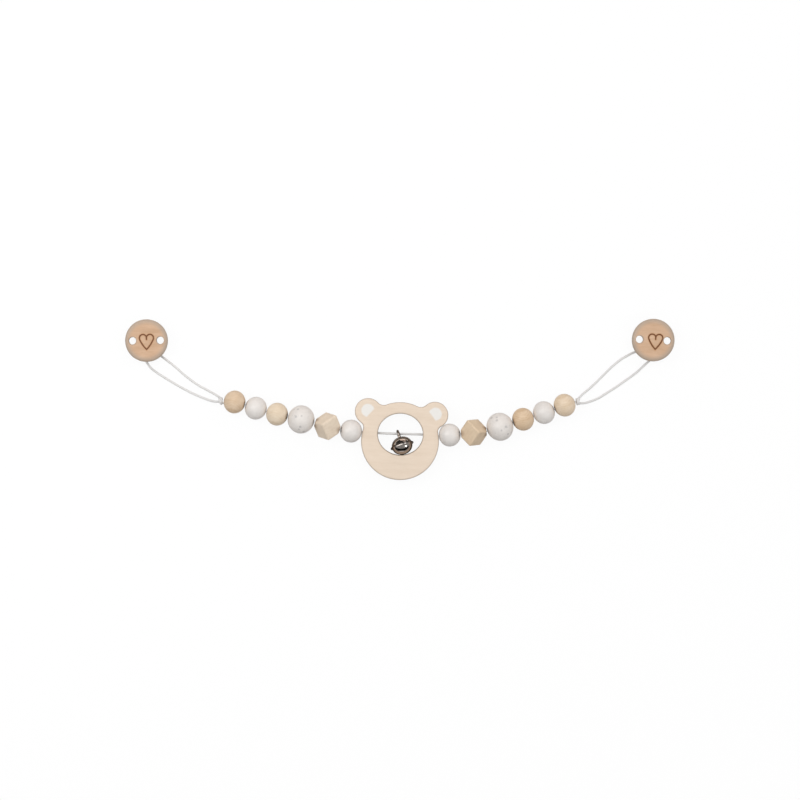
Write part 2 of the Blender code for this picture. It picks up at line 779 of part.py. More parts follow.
def knot_centre(side):
    last = chain_stations(side)[-1]
    return last.centre + last.direction * (last.half_length + last.gap_after + KNOT_LENGTH / 2)


def disc_centre(side):
    knot = knot_centre(side)
    return Vector((knot.x + SIDE_SIGN[side] * CLIP_OUTWARD[side], knot.y + CLIP_UPWARD[side], 0))


def toy_origin():
    """Centre of the toy's outline in plan, which becomes the origin."""
    left, right = disc_centre("left"), disc_centre("right")
    top = max(left.y, right.y) + DISC_RADIUS
    bottom = BEAR_CENTER_Y - HEAD_RADIUS
    return Vector(((left.x + right.x) / 2, (top + bottom) / 2, 0))


def ball_mesh(name, diameter, length):
    """A drilled ball, a little flattened along its bore on X, with eased bore mouths."""
    radius, half = diameter / 2, length / 2
    bore = BORE_DIAMETER / 2
    mouth = bore + BEAD_CHAMFER
    start = math.asin(mouth / radius)
    profile = []
    for step in range(BEAD_ARC_STEPS + 1):
        angle = start + (math.pi - 2 * start) * step / BEAD_ARC_STEPS
        profile.append((radius * math.sin(angle), -half * math.cos(angle)))
    depth = half * math.cos(start) - BEAD_CHAMFER
    profile += [(bore, depth), (bore, -depth)]
    return turned_mesh(name, profile, BEAD_SIDES, closed=True, axis="x")


def cube_mesh(name):
    """A rounded cube on its corner: a body diagonal lies along X and both its corners are cut flat."""
    mesh_data = bmesh.new()
    bmesh.ops.create_cube(mesh_data, size=CUBE_EDGE)
    bmesh.ops.bevel(
        mesh_data, geom=list(mesh_data.edges), offset=CUBE_ROUND, segments=CUBE_ROUND_STEPS,
        profile=0.5, affect="EDGES")
    diagonal = Vector((1, 1, 1)).normalized()
    top_corner = Vector((1, 1, -1))
    up = (top_corner - diagonal * top_corner.dot(diagonal)).normalized()
    turned = Matrix((diagonal, up.cross(diagonal), up))
    bmesh.ops.transform(mesh_data, matrix=turned.to_4x4(), verts=mesh_data.verts)
    for side in (-1, 1):
        cut = bmesh.ops.bisect_plane(
            mesh_data, geom=[*mesh_data.verts, *mesh_data.edges, *mesh_data.faces],
            plane_co=(side * CUBE_LENGTH / 2, 0, 0), plane_no=(side, 0, 0), clear_outer=True)
        edges = [piece for piece in cut["geom_cut"] if isinstance(piece, bmesh.types.BMEdge)]
        bmesh.ops.edgeloop_fill(mesh_data, edges=edges)
    return finish_mesh(name, mesh_data)


def build_bead(bead, world, parent):
    materials = {
        "white": white_paint_material, "wood": beech_material,
        "cube": beech_material, "speckled": speckled_paint_material,
    }
    material = materials[bead.kind](bead.name)
    if bead.kind == "cube":
        made = add_object(bead.name, cube_mesh(bead.name), world, parent, material)
        reach = CUBE_LENGTH / 2 + CUT_OVERRUN
        bore = cylinders_mesh("bore", [((-reach, 0, 0), (reach, 0, 0))], BORE_DIAMETER / 2, BORE_SIDES)
        combine(made, bore)
    else:
        diameter = SPECKLED_BEAD_DIAMETER if bead.kind == "speckled" else SMALL_BEAD_DIAMETER
        ball = ball_mesh(bead.name, diameter, 2 * bead_half_length(bead.kind))
        add_object(bead.name, ball, world, parent, material)


def build_chain(side, shift, ring):
    """The beads of one side, each on its own stretch of cord, and the knot that ends them."""
    carrier = ring
    for number, (bead, station) in enumerate(zip(chain_beads(side), chain_stations(side)), start=1):
        hinge = frame_at(station.hinge + shift, station.direction)
        pivot = add_empty(f"bend_{side}_{number}", hinge, carrier)
        length = station.gap_before / 2 + 2 * station.half_length + station.gap_after / 2
        straight_cord(f"cord_segment_{side}_{number}", length, hinge, pivot)
        build_bead(bead, frame_at(station.centre + shift, station.direction), pivot)
        carrier = pivot
    return carrier


# Knots, cord loops and clips

def knot_mesh(name):
    """A pulled-down knot: two swellings with a waist between them, turned round X."""
    profile = []
    for step in range(KNOT_STEPS + 1):
        angle = math.pi * step / KNOT_STEPS
        waist = KNOT_WAIST_SHARE + (1 - KNOT_WAIST_SHARE) * math.cos(2 * angle) ** 2
        on_pole = step in (0, KNOT_STEPS)
        radius = 0.0 if on_pole else KNOT_DIAMETER / 2 * math.sin(angle) * waist
        profile.append((radius, -KNOT_LENGTH / 2 * math.cos(angle)))
    return turned_mesh(name, profile, KNOT_SIDES, axis="x")


def build_knot(side, shift, carrier):
    name = f"knot_{side}"
    direction = chain_stations(side)[-1].direction
    world = frame_at(knot_centre(side) + shift, direction)
    return add_object(name, knot_mesh(name), world, carrier, cord_material(name))


def build_loop(side, shift, knot):
    """The cord loop from the knot round the clip's bar and back, in plain world directions."""
    centre = knot_centre(side) + shift
    level = Vector((centre.x, centre.y, 0))
    points = []
    for outward, upward, height in LOOP_ROUTE[side]:
        points.append(level + Vector((SIDE_SIGN[side] * outward, upward, height)) - centre)
    name = f"clip_loop_{side}"
    line = round_line(name, smooth_route(points, CORD_POINT_SPACING), CORD_DIAMETER)
    add_object(name, line, Matrix.Translation(centre), knot, cord_material(name))


def disc_profile():
    """From the middle of the disc's back round its rim to the middle of its front."""
    back = plate_top() + PIECE_GAP
    front = back + DISC_THICKNESS
    foot = (DISC_RADIUS - DISC_BACK_ROUND, back + DISC_BACK_ROUND)
    crown = (DISC_RADIUS - DISC_TOP_ROUND, front - DISC_TOP_ROUND)
    back_edge = arc_points(foot, DISC_BACK_ROUND, -math.pi / 2, 0, 1)
    front_edge = arc_points(crown, DISC_TOP_ROUND, 0, math.pi / 2, DISC_ROUND_STEPS)
    return [(0.0, back), *back_edge, *front_edge, (0.0, front)]


def plate_top():
    return PLATE_HEIGHT + SHEET / 2


def plate_underside():
    return PLATE_HEIGHT - SHEET / 2


def rivet_places(start, end):
    return [((0, y, start), (0, y, end)) for y in RIVET_YS]


def build_disc(side, world, parent):
    name = f"clip_disc_{side}"
    disc = add_object(
        name, turned_mesh(name, disc_profile(), DISC_SIDES), world, parent, beech_material(name))
    back = plate_top() + PIECE_GAP
    top = back + DISC_THICKNESS + CUT_OVERRUN
    half_spacing = VENT_SPACING / 2
    vents = [((x, 0, back - CUT_OVERRUN), (x, 0, top)) for x in (-half_spacing, half_spacing)]
    combine(disc, cylinders_mesh("vents", vents, VENT_DIAMETER / 2, VENT_SIDES))
    holes = rivet_places(back - CUT_OVERRUN, back + RIVET_HOLE_DEPTH)
    combine(disc, cylinders_mesh("rivet_holes", holes, RIVET_DIAMETER / 2 + PIECE_GAP, RIVET_SIDES))


def ear_outline():
    """An ear of the plate: a tab that ends in a half round about the pin."""
    low = arc_points((PIN_Y, PIN_HEIGHT), EAR_HALF_LENGTH, -math.pi, 0, EAR_ROUND_STEPS)
    # the ear stays above the surface that the clip lies on
    floor = PIN_HEIGHT - HUB_RADIUS
    low = [(y, max(z, floor)) for y, z in low]
    return [*low, (PIN_Y + EAR_HALF_LENGTH, PLATE_HEIGHT), (PIN_Y - EAR_HALF_LENGTH, PLATE_HEIGHT)]


def ears_mesh():
    mesh_data = bmesh.new()
    inner = PLATE_HALF_WIDTH - SHEET
    add_slab(mesh_data, ear_outline(), -PLATE_HALF_WIDTH, -inner)
    add_slab(mesh_data, ear_outline(), inner, PLATE_HALF_WIDTH)
    return finish_mesh("ears", mesh_data, False)


def build_plate(side, world, parent):
    """The folded steel plate: cord bar and slot, jog, flat seat for the disc, ears and jaw lip."""
    name = f"clip_plate_{side}"
    fold = [
        (BAR_LOW_Y, BAR_HEIGHT), (JOG_LOW_Y, BAR_HEIGHT), (JOG_HIGH_Y, PLATE_HEIGHT),
        (JAW_Y, PLATE_HEIGHT), (JAW_Y, PLATE_HEIGHT - JAW_LIP),
    ]
    strip = extruded_mesh(name, folded_outline(fold, SHEET), PLATE_HALF_WIDTH)
    plate = add_object(name, strip, world, parent, steel_material(name))
    combine(plate, corner_cutter(BAR_LOW_Y, PLATE_HALF_WIDTH, BAR_CORNER, BAR_HEIGHT - SHEET, PLATE_HEIGHT))
    combine(plate, ears_mesh(), "UNION")
    combine(plate, slot_cutter())
    reach = PLATE_HALF_WIDTH + CUT_OVERRUN
    pin_line = [((-reach, PIN_Y, PIN_HEIGHT), (reach, PIN_Y, PIN_HEIGHT))]
    pin_hole = cylinders_mesh("pin_holes", pin_line, PIN_DIAMETER / 2 + PIN_CLEARANCE, PIN_SIDES)
    combine(plate, pin_hole)
    holes = rivet_places(plate_underside() - CUT_OVERRUN, plate_top() + CUT_OVERRUN)
    combine(plate, cylinders_mesh("rivet_holes", holes, RIVET_DIAMETER / 2 + PIECE_GAP, RIVET_SIDES))


def build_grip(side, world, parent):
    """The toothed pad that presses the cloth, seated under the plate behind the jaw lip."""
    name = f"clip_grip_{side}"
    top = plate_underside() - PIECE_GAP
    front = JAW_Y - SHEET / 2 - PIECE_GAP
    base = top - PAD_BASE
    pitch = (front - PAD_LOW_Y) / PAD_TEETH
    outline = [(PAD_LOW_Y, top), (PAD_LOW_Y, base)]
    for tooth in range(PAD_TEETH):
        start = PAD_LOW_Y + pitch * tooth
        outline += [(start + pitch / 2, base - TOOTH_DEPTH), (start + pitch, base)]
    outline.append((front, top))
    pad = extruded_mesh(name, outline, PAD_HALF_WIDTH)
    add_object(name, pad, world, parent, pad_material(name))


def build_pin(side, world, parent):
    name = f"clip_pin_{side}"
    shank = PLATE_HALF_WIDTH + PIN_CLEARANCE
    head = shank + PIN_HEAD_THICKNESS
    radius, head_radius = PIN_DIAMETER / 2, PIN_HEAD_DIAMETER / 2
    profile = [
        (head_radius, -head), (head_radius, -shank), (radius, -shank),
        (radius, shank), (head_radius, shank), (head_radius, head),
    ]
    at_pin = world @ Matrix.Translation((0, PIN_Y, PIN_HEIGHT))
    pin = turned_mesh(name, profile, PIN_SIDES, axis="x")
    add_object(name, pin, at_pin, parent, steel_material(name))


def build_lever(side, world, parent):
    """The lever: an eccentric hub on the pin and a flat tongue that lies on the surface."""
    name = f"clip_lever_{side}"
    middle = SHEET / 2 - PIN_HEIGHT
    tongue = [
        (TONGUE_TIP_Y - PIN_Y, middle + TONGUE_LIFT), (TONGUE_LIFT_Y - PIN_Y, middle),
        (-HUB_RADIUS / 2, middle), (0, middle + SHEET),
    ]
    strip = extruded_mesh(name, folded_outline(tongue, SHEET), LEVER_HALF_WIDTH)
    at_pin = world @ Matrix.Translation((0, PIN_Y, PIN_HEIGHT))
    lever = add_object(name, strip, at_pin, parent, steel_material(name))
    hub_line = [((-LEVER_HALF_WIDTH, 0, HUB_OFFSET), (LEVER_HALF_WIDTH, 0, HUB_OFFSET))]
    combine(lever, cylinders_mesh("hub", hub_line, HUB_RADIUS, HUB_SIDES), "UNION")
    reach = LEVER_HALF_WIDTH + CUT_OVERRUN
    bore_radius = PIN_DIAMETER / 2 + PIN_CLEARANCE
    combine(lever, cylinders_mesh("pin_bore", [((-reach, 0, 0), (reach, 0, 0))], bore_radius, PIN_SIDES))
    tip = TONGUE_TIP_Y - PIN_Y
    below = -PIN_HEIGHT - CUT_OVERRUN
    combine(lever, corner_cutter(tip, LEVER_HALF_WIDTH, TONGUE_CORNER, below, TONGUE_LIFT))


def build_rivets(side, world, parent):
    """Two rivets from the plate's underside into the disc."""
    head_top = plate_underside() - PIECE_GAP
    shank_top = plate_top() + PIECE_GAP + RIVET_LENGTH - 2 * PIECE_GAP
    profile = [
        (RIVET_HEAD_DIAMETER / 2, head_top - RIVET_HEAD_THICKNESS), (RIVET_HEAD_DIAMETER / 2, head_top),
        (RIVET_DIAMETER / 2, head_top), (RIVET_DIAMETER / 2, shank_top),
    ]
    for number, y in enumerate(RIVET_YS, start=1):
        name = f"clip_rivet_{side}_{number}"
        rivet = turned_mesh(name, profile, RIVET_SIDES)
        add_object(name, rivet, world @ Matrix.Translation((0, y, 0)), parent, steel_material(name))


def build_clip(side, shift, knot):
    """All pieces of one clip, placed from the clip's own frame under its disc."""
    turned = Matrix.Rotation(CLIP_TURN[side], 4, "Z")
    world = Matrix.Translation(disc_centre(side) + shift) @ turned
    clip = add_empty(f"clip_frame_{side}", world, knot)
    for build in (build_disc, build_plate, build_grip, build_pin, build_lever, build_rivets):
        build(side, world, clip)


def build_toy():
    clear_scene()
    shift = -toy_origin()
    origin = add_empty("toy_origin", Matrix.Translation(shift))
    ring = build_bear(origin)
    build_cord_in_bear(ring)
    build_bell(ring)
    for side in SIDE_SIGN:
        carrier = build_chain(side, shift, ring)
        knot = build_knot(side, shift, carrier)
        build_loop(side, shift, knot)
        build_clip(side, shift, knot)


build_toy()
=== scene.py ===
import json
import math

import bmesh
import bpy
import numpy as np
from mathutils import Matrix, Vector


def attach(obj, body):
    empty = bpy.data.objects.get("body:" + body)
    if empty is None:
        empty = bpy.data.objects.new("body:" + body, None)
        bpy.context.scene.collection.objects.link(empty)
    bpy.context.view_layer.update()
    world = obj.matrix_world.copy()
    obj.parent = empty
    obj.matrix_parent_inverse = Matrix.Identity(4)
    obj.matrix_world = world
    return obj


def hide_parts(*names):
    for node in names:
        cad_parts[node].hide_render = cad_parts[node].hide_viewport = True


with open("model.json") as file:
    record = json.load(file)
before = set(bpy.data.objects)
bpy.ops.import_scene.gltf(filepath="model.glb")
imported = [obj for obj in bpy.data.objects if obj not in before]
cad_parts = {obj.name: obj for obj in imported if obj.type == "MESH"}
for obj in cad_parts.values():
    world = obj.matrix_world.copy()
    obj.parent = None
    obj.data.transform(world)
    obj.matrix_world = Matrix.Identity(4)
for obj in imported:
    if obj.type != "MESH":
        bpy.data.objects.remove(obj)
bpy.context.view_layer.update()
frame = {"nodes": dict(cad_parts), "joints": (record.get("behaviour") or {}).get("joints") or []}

SIDES = {"left": -1, "right": 1}
MM = 0.001
JOINTS = {joint["name"]: joint for joint in frame["joints"]}
NODES = frame["nodes"]

# Sizes of the pieces, in millimetres; a ball's are across its bore and along it
BORE, BORE_CHAMFER = 4.0, 0.3
SMALL_BALL, SPECKLED_BALL = (20.3, 19.2), (25.0, 23.6)
# Rounding of a ball's bore mouths, and its points outward from the bore and inward from the end
MOUTH_ROUND = 0.45
MOUTH_POINTS = ((0.22, 0.06), (0.07, 0.20), (0.0, MOUTH_ROUND))
# Along its bore the cube is 0.2 mm shorter than the solid, to clear the speckled ball when bent
CUBE_EDGE, CUBE_LENGTH, CUBE_ROUND, CUT_BEVEL = 17.0, 22.7, 1.5, 0.75

BEAR_THICKNESS, BEAR_ROUND = 13.0, 1.5
HEAD_RADIUS, EAR_RADIUS, EAR_SPOT, EAR_FILLETS = 34.4, 11.7, (29.6, 24.7), (5.0, 7.0)
OPENING, OPENING_RISE = (20.0, 18.3), 6.0
# White patch on an ear: its middle and radius, and the way and distance to its straight side
EAR_PATCH, EAR_PATCH_RADIUS = (29.9, 25.6), 5.8
EAR_PATCH_WAY, EAR_PATCH_REACH = (-0.77, -0.64), 3.3

DISC_RADIUS, DISC_BACK, DISC_FRONT = 18.8, 7.7, 13.2
# Rounding of the front edge, inward and backward, and of the back edge
DISC_ROUND, DISC_BACK_ROUND = (3.2, 1.7), 0.6
# Radii of the mesh's rings on the flat faces
DISC_BACK_RING, DISC_FRONT_RINGS = 10.0, (12.0, 6.0)
VENT_DIAMETER, VENT_SPACING, VENT_CHAMFER = 6.5, 24.6, 0.3
# Pin of the lever in the clip's frame: along Y, and its height
PIN_SPOT = (11.2, 2.5)
# Heart, from the middle between its lobes: centres and radii of a lobe and of the flank's arc,
# lean of the line that parts them, and the ends of the cleft
HEART_LOBE, HEART_LOBE_RADIUS = 3.1, 3.15
HEART_FLANK, HEART_FLANK_RADIUS = (-19.2, 9.47), 27.4
HEART_LEAN = math.radians(23)
HEART_CLEFT = (-1.3, 0.9)
# Middle of the heart on each disc
HEART_SPOT = {"left": (0.2, 2.2), "right": (1.9, 2.0)}

BELL_RADIUS, BELL_HALF_HEIGHT, BELL_WALL, BELL_FLANGE = 9.3, 8.0, 0.5, 10.6
# Edge of the flange: points outward from its radius, then from the body's, and away from the seam
FLANGE_TIP = ((-0.10, 0.0), (0.0, 0.05), (-0.05, 0.13), (-0.50, 0.18))
FLANGE_ROOT = ((0.30, 0.24), (0.08, 0.34))
BELL_LEG, BELL_LOOP_RADIUS, BELL_WIRE, BELL_LOOP_TURN = 3.0, 3.0, 2.0, 8.0
# How far the wire's feet start below the top of the body
BELL_FOOT = 1.2
# Slot and holes, and how far their middles are below the seam
BELL_SLOT, BELL_SLOT_DEPTH = (11.0, 1.6, 6.0), 7.0
BELL_HOLE, BELL_HOLE_SPACING, BELL_HOLE_DEPTH = 3.2, 11.0, 6.5
# How far left of the ring's middle the bell hangs
BELL_ASIDE = 1.7

CORD_DIAMETER, CORD_HEIGHT = 2.0, 7.4
# Depth of the braid as a share of the cord's radius, and the spacing of a cord's points
BRAID, CORD_STEP = 0.02, 0.2
# How far past its joint a strand starts, and how far past its bead it ends
STRAND_START, STRAND_PAST = 0.15, 0.25
# The ring's cord: how far past the cheeks it ends, its rise at the opening's right end, and how far
# the rise spreads before and after that
CHEEK_PAST, CORD_RISE, RISE_SPREAD = 0.2, 0.9, (20.0, 9.0)
# Knot: turns of its cord, where they start in degrees, and how much the wraps swell in the middle
KNOT_TURNS, KNOT_START, KNOT_SWELL = 1.75, -60, 0.18
# Half length, radii and cord of the wraps and of the core inside them, then the cord of the
# crossing strand and of the ends
WRAPS_HALF, WRAPS_RADII, WRAPS_CORD = 1.2, (2.15, 1.3), 1.7
CORE_HALF, CORE_RADIUS, CORE_CORD = 0.7, 0.75, 1.4
CROSSING_CORD, END_CORD = 1.5, 1.86
# Middle of each knot from its joint: outward, upward, and its lean in degrees
KNOT_SPOT = {"left": (0.35, -2.0, 12.0), "right": (0.5, -0.9, 0.0)}

# How far a cutter's ends stand out, and the sides of a cutter, a bead or shell, and a disc
OVERRUN, CUTTER_SIDES, TURNED_SIDES, DISC_SIDES = 1, 48, 96, 128

# Width of a year's ring in the beads' wood
RING_WIDTH = 1.5

# Colours; a pair is light and dark
BEAR_TONES = ((0.81, 0.68, 0.555), (0.68, 0.55, 0.42))
# The ring's edge colour is painted shade on its rounded edges and walls, partly darker cut wood
BEAR_EDGE_SHADE, EAR_WHITE = (0.34, 0.26, 0.19), (0.82, 0.797, 0.76)
WHITE_PAINT, SPECKLED_PAINT = (0.80, 0.76, 0.725), (0.80, 0.755, 0.715)
# Colours round the bore mouths: darker end grain and painted shade on the wooden beads, painted shade on the
# painted beads
WOOD_MOUTH_GRAIN_AND_SHADE, PAINT_MOUTH_SHADE = (0.26, 0.15, 0.08), (0.33, 0.26, 0.21)
# The disc's rim colour is painted shade; singed and burnt are the heart's burn marks
DISC_RIM_SHADE, SINGED, BURNT = (0.43, 0.35, 0.28), (0.53, 0.27, 0.10), (0.15, 0.042, 0.004)
DISC_TONES = {
    "left": ((0.655, 0.435, 0.285), (0.47, 0.28, 0.155)),
    "right": ((0.70, 0.475, 0.32), (0.52, 0.32, 0.185)),
}
# Light, dark and grey
CORD_TONES = ((0.77, 0.755, 0.745), (0.70, 0.69, 0.675), (0.60, 0.59, 0.58))
BELL_TONES = ((0.66, 0.61, 0.565), (0.53, 0.47, 0.425))
# The seam colour is a dark joint and painted shade; the browner colour is a painted dark reflection
BELL_SEAM_SHADE, BELL_DARK_REFLECTION = (0.10, 0.065, 0.05), (0.20, 0.14, 0.11)
WIRE_TONES = ((0.42, 0.37, 0.33), (0.22, 0.18, 0.15))
STEEL_TONES = ((0.66, 0.65, 0.64), (0.50, 0.49, 0.47))
PAD_TONES = ((0.80, 0.79, 0.76), (0.70, 0.69, 0.65))
# Speckles: width of the cell that holds a dot, its least and greatest radius, strength and colour
SPECKLES = (
    (5.0, 0.48, 1.35, 0.58, (0.44, 0.425, 0.42)),
    (2.6, 0.0, 0.46, 0.46, (0.45, 0.43, 0.42)),
    (1.2, 0.0, 0.20, 0.4, (0.47, 0.45, 0.44)),
)

# The camera: lens and sensor in millimetres, width of the view in metres and the height where it
# has that width, and the camera's place over the toy
LENS, SENSOR = 135, 36
VIEW_WIDTH, VIEW_LEVEL = 0.708, 0.010
CAMERA_SPOT = (0.00012, -0.00053)

# Lamps: place, the way their first size runs, sizes, watts and colour
LAMPS = {
    "key": ((-0.56, 0.22, 0.91), (1.16, 0.48, 0.65), (1.5, 0.5), 6.1, (1, 1, 1)),
    "right": ((0.98, -0.44, 0.92), (0, 1, 0), (0.36, 0.42), 2.0, (1, 1, 1)),
    "right_back": ((0.72, 0.62, 0.98), (0, 1, 0), (0.5, 0.5), 1.8, (1, 1, 1)),
    "back_strip": ((0.10, 1.3, 0.27), (1, 0, 0), (1.1, 0.36), 1.9, (1.0, 0.80, 0.69)),
}

# Route of the strand that crosses the knot's wraps, from the knot's middle
KNOT_ACROSS = [(-1.5, 0.9, -0.4), (-1.0, -1.4, 0.8), (0.2, -0.5, 1.55), (1.1, 1.3, 1.1), (1.5, 1.7, -0.3)]

# Routes of the cord loops from the knot: outward, upward and height above the surface
LOOP_ROUTE = {
    "left": [
        (2.2, 1.7, 9.1), (5.9, 4.0, 6.9), (10.2, 6.3, 4.7), (14.7, 8.7, 2.9), (19.2, 11.1, 1.8),
        (25.0, 14.8, 1.2), (32.5, 20.5, 1.1), (41.4, 28.3, 1.1), (50.3, 35.3, 1.4), (54.7, 38.7, 1.9),
        (58.2, 41.4, 2.4), (62.2, 44.6, 3.1), (65.9, 46.2, 4.3), (68.7, 45.1, 5.2), (69.6, 42.1, 6.1),
        (69.1, 38.6, 6.3), (67.7, 34.9, 5.9), (65.7, 31.4, 4.6), (63.2, 27.7, 2.8), (59.1, 24.2, 1.5),
        (50.3, 18.5, 1.1), (41.4, 13.1, 1.1), (32.5, 8.1, 1.1), (23.6, 3.7, 1.4), (16.0, 0.5, 2.6),
        (9.6, -1.7, 5.0), (5.6, -2.5, 7.0), (2.4, -2.6, 9.0),
    ],
    "right": [
        (1.7, 2.4, 9.1), (4.4, 5.1, 7.1), (8.7, 8.6, 4.9), (13.0, 12.2, 3.0), (17.4, 16.3, 1.8),
        (22.8, 21.6, 1.2), (30.8, 29.5, 1.1), (39.6, 36.6, 1.1), (48.5, 41.7, 1.3), (53.2, 43.5, 1.8),
        (57.6, 45.0, 2.3), (61.6, 46.5, 2.9), (65.3, 47.8, 4.2), (68.3, 46.9, 5.2), (69.3, 44.1, 6.1),
        (68.7, 40.5, 6.3), (66.3, 37.2, 5.6), (62.5, 33.7, 4.3), (57.6, 29.1, 2.6), (53.0, 24.8, 1.5),
        (44.1, 18.3, 1.1), (35.2, 12.1, 1.1), (26.3, 6.4, 1.1), (18.4, 1.7, 2.0), (10.6, -1.3, 4.3),
        (5.9, -2.3, 6.8), (2.4, -2.4, 9.0),
    ],
}


# Frames of the pieces, from the joints of the model

def frame_at(origin, x_direction, up=Vector((0, 0, 1))):
    """A frame with its X axis along x_direction and its Z axis as near to up as it can be."""
    x_axis = Vector(x_direction).normalized()
    y_axis = up.cross(x_axis).normalized()
    turned = Matrix((x_axis, y_axis, x_axis.cross(y_axis))).transposed().to_4x4()
    return Matrix.Translation(origin) @ turned


def joint_spot(name):
    return Vector(JOINTS[name]["pos_m"])


def bead_frame(side, number):
    joint = JOINTS[f"spin_{side}_{number}"]
    return frame_at(joint["pos_m"], joint["axis"])


def clip_frame(side):
    """The clip's own frame: its origin lies on the surface under the middle of the disc."""
    joint = JOINTS[f"lever_open_{side}"]
    at_pin = frame_at(joint["pos_m"], joint["axis"])
    return at_pin @ Matrix.Translation((0, -PIN_SPOT[0] * MM, -PIN_SPOT[1] * MM))


def bear_frame():
    """The ring's own frame: origin in the middle of the head's circle, on the surface."""
    axis = Vector(JOINTS["bell_swing"]["axis"])
    at_cord = frame_at(joint_spot("bell_swing"), axis)
    return at_cord @ Matrix.Translation((BELL_ASIDE * MM, -OPENING_RISE * MM, -CORD_HEIGHT * MM))


def bell_frame():
    """The bell's own frame: its Z axis points to the loop and its Y axis down."""
    y_axis = -Vector(JOINTS["pellet_rattle"]["axis"])
    x_axis = Vector((0, 0, 1)).cross(y_axis).normalized()
    z_axis = x_axis.cross(y_axis)
    turned = Matrix((x_axis, y_axis, z_axis)).transposed().to_4x4()
    middle = joint_spot("bell_swing") - z_axis * (BELL_HALF_HEIGHT + BELL_LEG) * MM
    return Matrix.Translation(middle) @ turned


# Mesh tools; shapes are made in millimetres in their own frames

def mesh_from(name, corners, faces, smooth=40):
    data = bpy.data.meshes.new(name)
    data.from_pydata([tuple(corner) for corner in corners], [], faces)
    mesh_data = bmesh.new()
    mesh_data.from_mesh(data)
    bmesh.ops.recalc_face_normals(mesh_data, faces=mesh_data.faces)
    mesh_data.to_mesh(data)
    mesh_data.free()
    shade(data, smooth)
    return data


def shade(data, smooth):
    data.shade_smooth()
    data.set_sharp_from_angle(angle=math.radians(smooth))


def lathe(name, profile, sides, closed=False, smooth=40):
    """Turn a profile of (radius, height) points round Z."""
    corners, rings = [], []
    for radius, height in profile:
        count = sides if radius > 0 else 1
        rings.append([len(corners) + step for step in range(count)])
        for step in range(count):
            angle = math.tau * step / sides
            corners.append((radius * math.cos(angle), radius * math.sin(angle), height))
    faces = []
    pairs = list(zip(rings, rings[1:])) + ([(rings[-1], rings[0])] if closed else [])
    for lower, upper in pairs:
        for step in range(sides):
            after = (step + 1) % sides
            corner = [lower[step % len(lower)], lower[after % len(lower)],
                      upper[after % len(upper)], upper[step % len(upper)]]
            faces.append(list(dict.fromkeys(corner)))
    return mesh_from(name, corners, faces, smooth)


def arc(centre, radius, start, end, steps):
    """Points of an arc, angles in degrees, both ends included."""
    angles = np.radians(np.linspace(start, end, steps + 1))
    return [(centre[0] + radius * math.cos(angle), centre[1] + radius * math.sin(angle)) for angle in angles]


def carve(data, cutters, smooth):
    """The mesh with each cutter mesh cut away."""
    made = bpy.data.objects.new("carved", data)
    bpy.context.scene.collection.objects.link(made)
    extra = []
    for cutter in cutters:
        tool = bpy.data.objects.new("cutter", cutter)
        bpy.context.scene.collection.objects.link(tool)
        extra.append(tool)
        step = made.modifiers.new("cut", "BOOLEAN")
        step.operation, step.object, step.solver = "DIFFERENCE", tool, "EXACT"
    view = bpy.context.evaluated_depsgraph_get()
    result = bpy.data.meshes.new_from_object(made.evaluated_get(view))
    for old in [made, *extra]:
        bpy.data.objects.remove(old, do_unlink=True)
    shade(result, smooth)
    return result


def moved(data, matrix):
    data.transform(matrix)
    return data


def rod(length, diameter, chamfer=0.0):
    """A cutter along Z, wider at its ends by the chamfer."""
    half, radius = length / 2, diameter / 2
    wide = radius + chamfer
    return lathe("rod", [
        (0, -half - OVERRUN), (wide + OVERRUN, -half - OVERRUN), (wide, -half), (radius, chamfer - half),
        (radius, half - chamfer), (wide, half), (wide + OVERRUN, half + OVERRUN), (0, half + OVERRUN)],
        CUTTER_SIDES)


def smooth_route(route, spacing):
    """Points at an even spacing along a smooth curve through the route's points."""
    known = np.array(route, float)
    known = np.vstack([2 * known[0] - known[1], known, 2 * known[-1] - known[-2]])
    fine = []
    for before, first, second, after in zip(known, known[1:], known[2:], known[3:]):
        for share in np.linspace(0, 1, 24, endpoint=False):
            fine.append(0.5 * (2 * first + (second - before) * share
                               + (2 * before - 5 * first + 4 * second - after) * share ** 2
                               + (3 * first - before - 3 * second + after) * share ** 3))
    fine = np.vstack([*fine, known[-2]])
    travelled = np.concatenate([[0], np.cumsum(np.linalg.norm(np.diff(fine, axis=0), axis=1))])
    wanted = np.linspace(0, travelled[-1], max(2, round(travelled[-1] / spacing)) + 1)
    return np.stack([np.interp(wanted, travelled, fine[:, axis]) for axis in range(3)], axis=1)


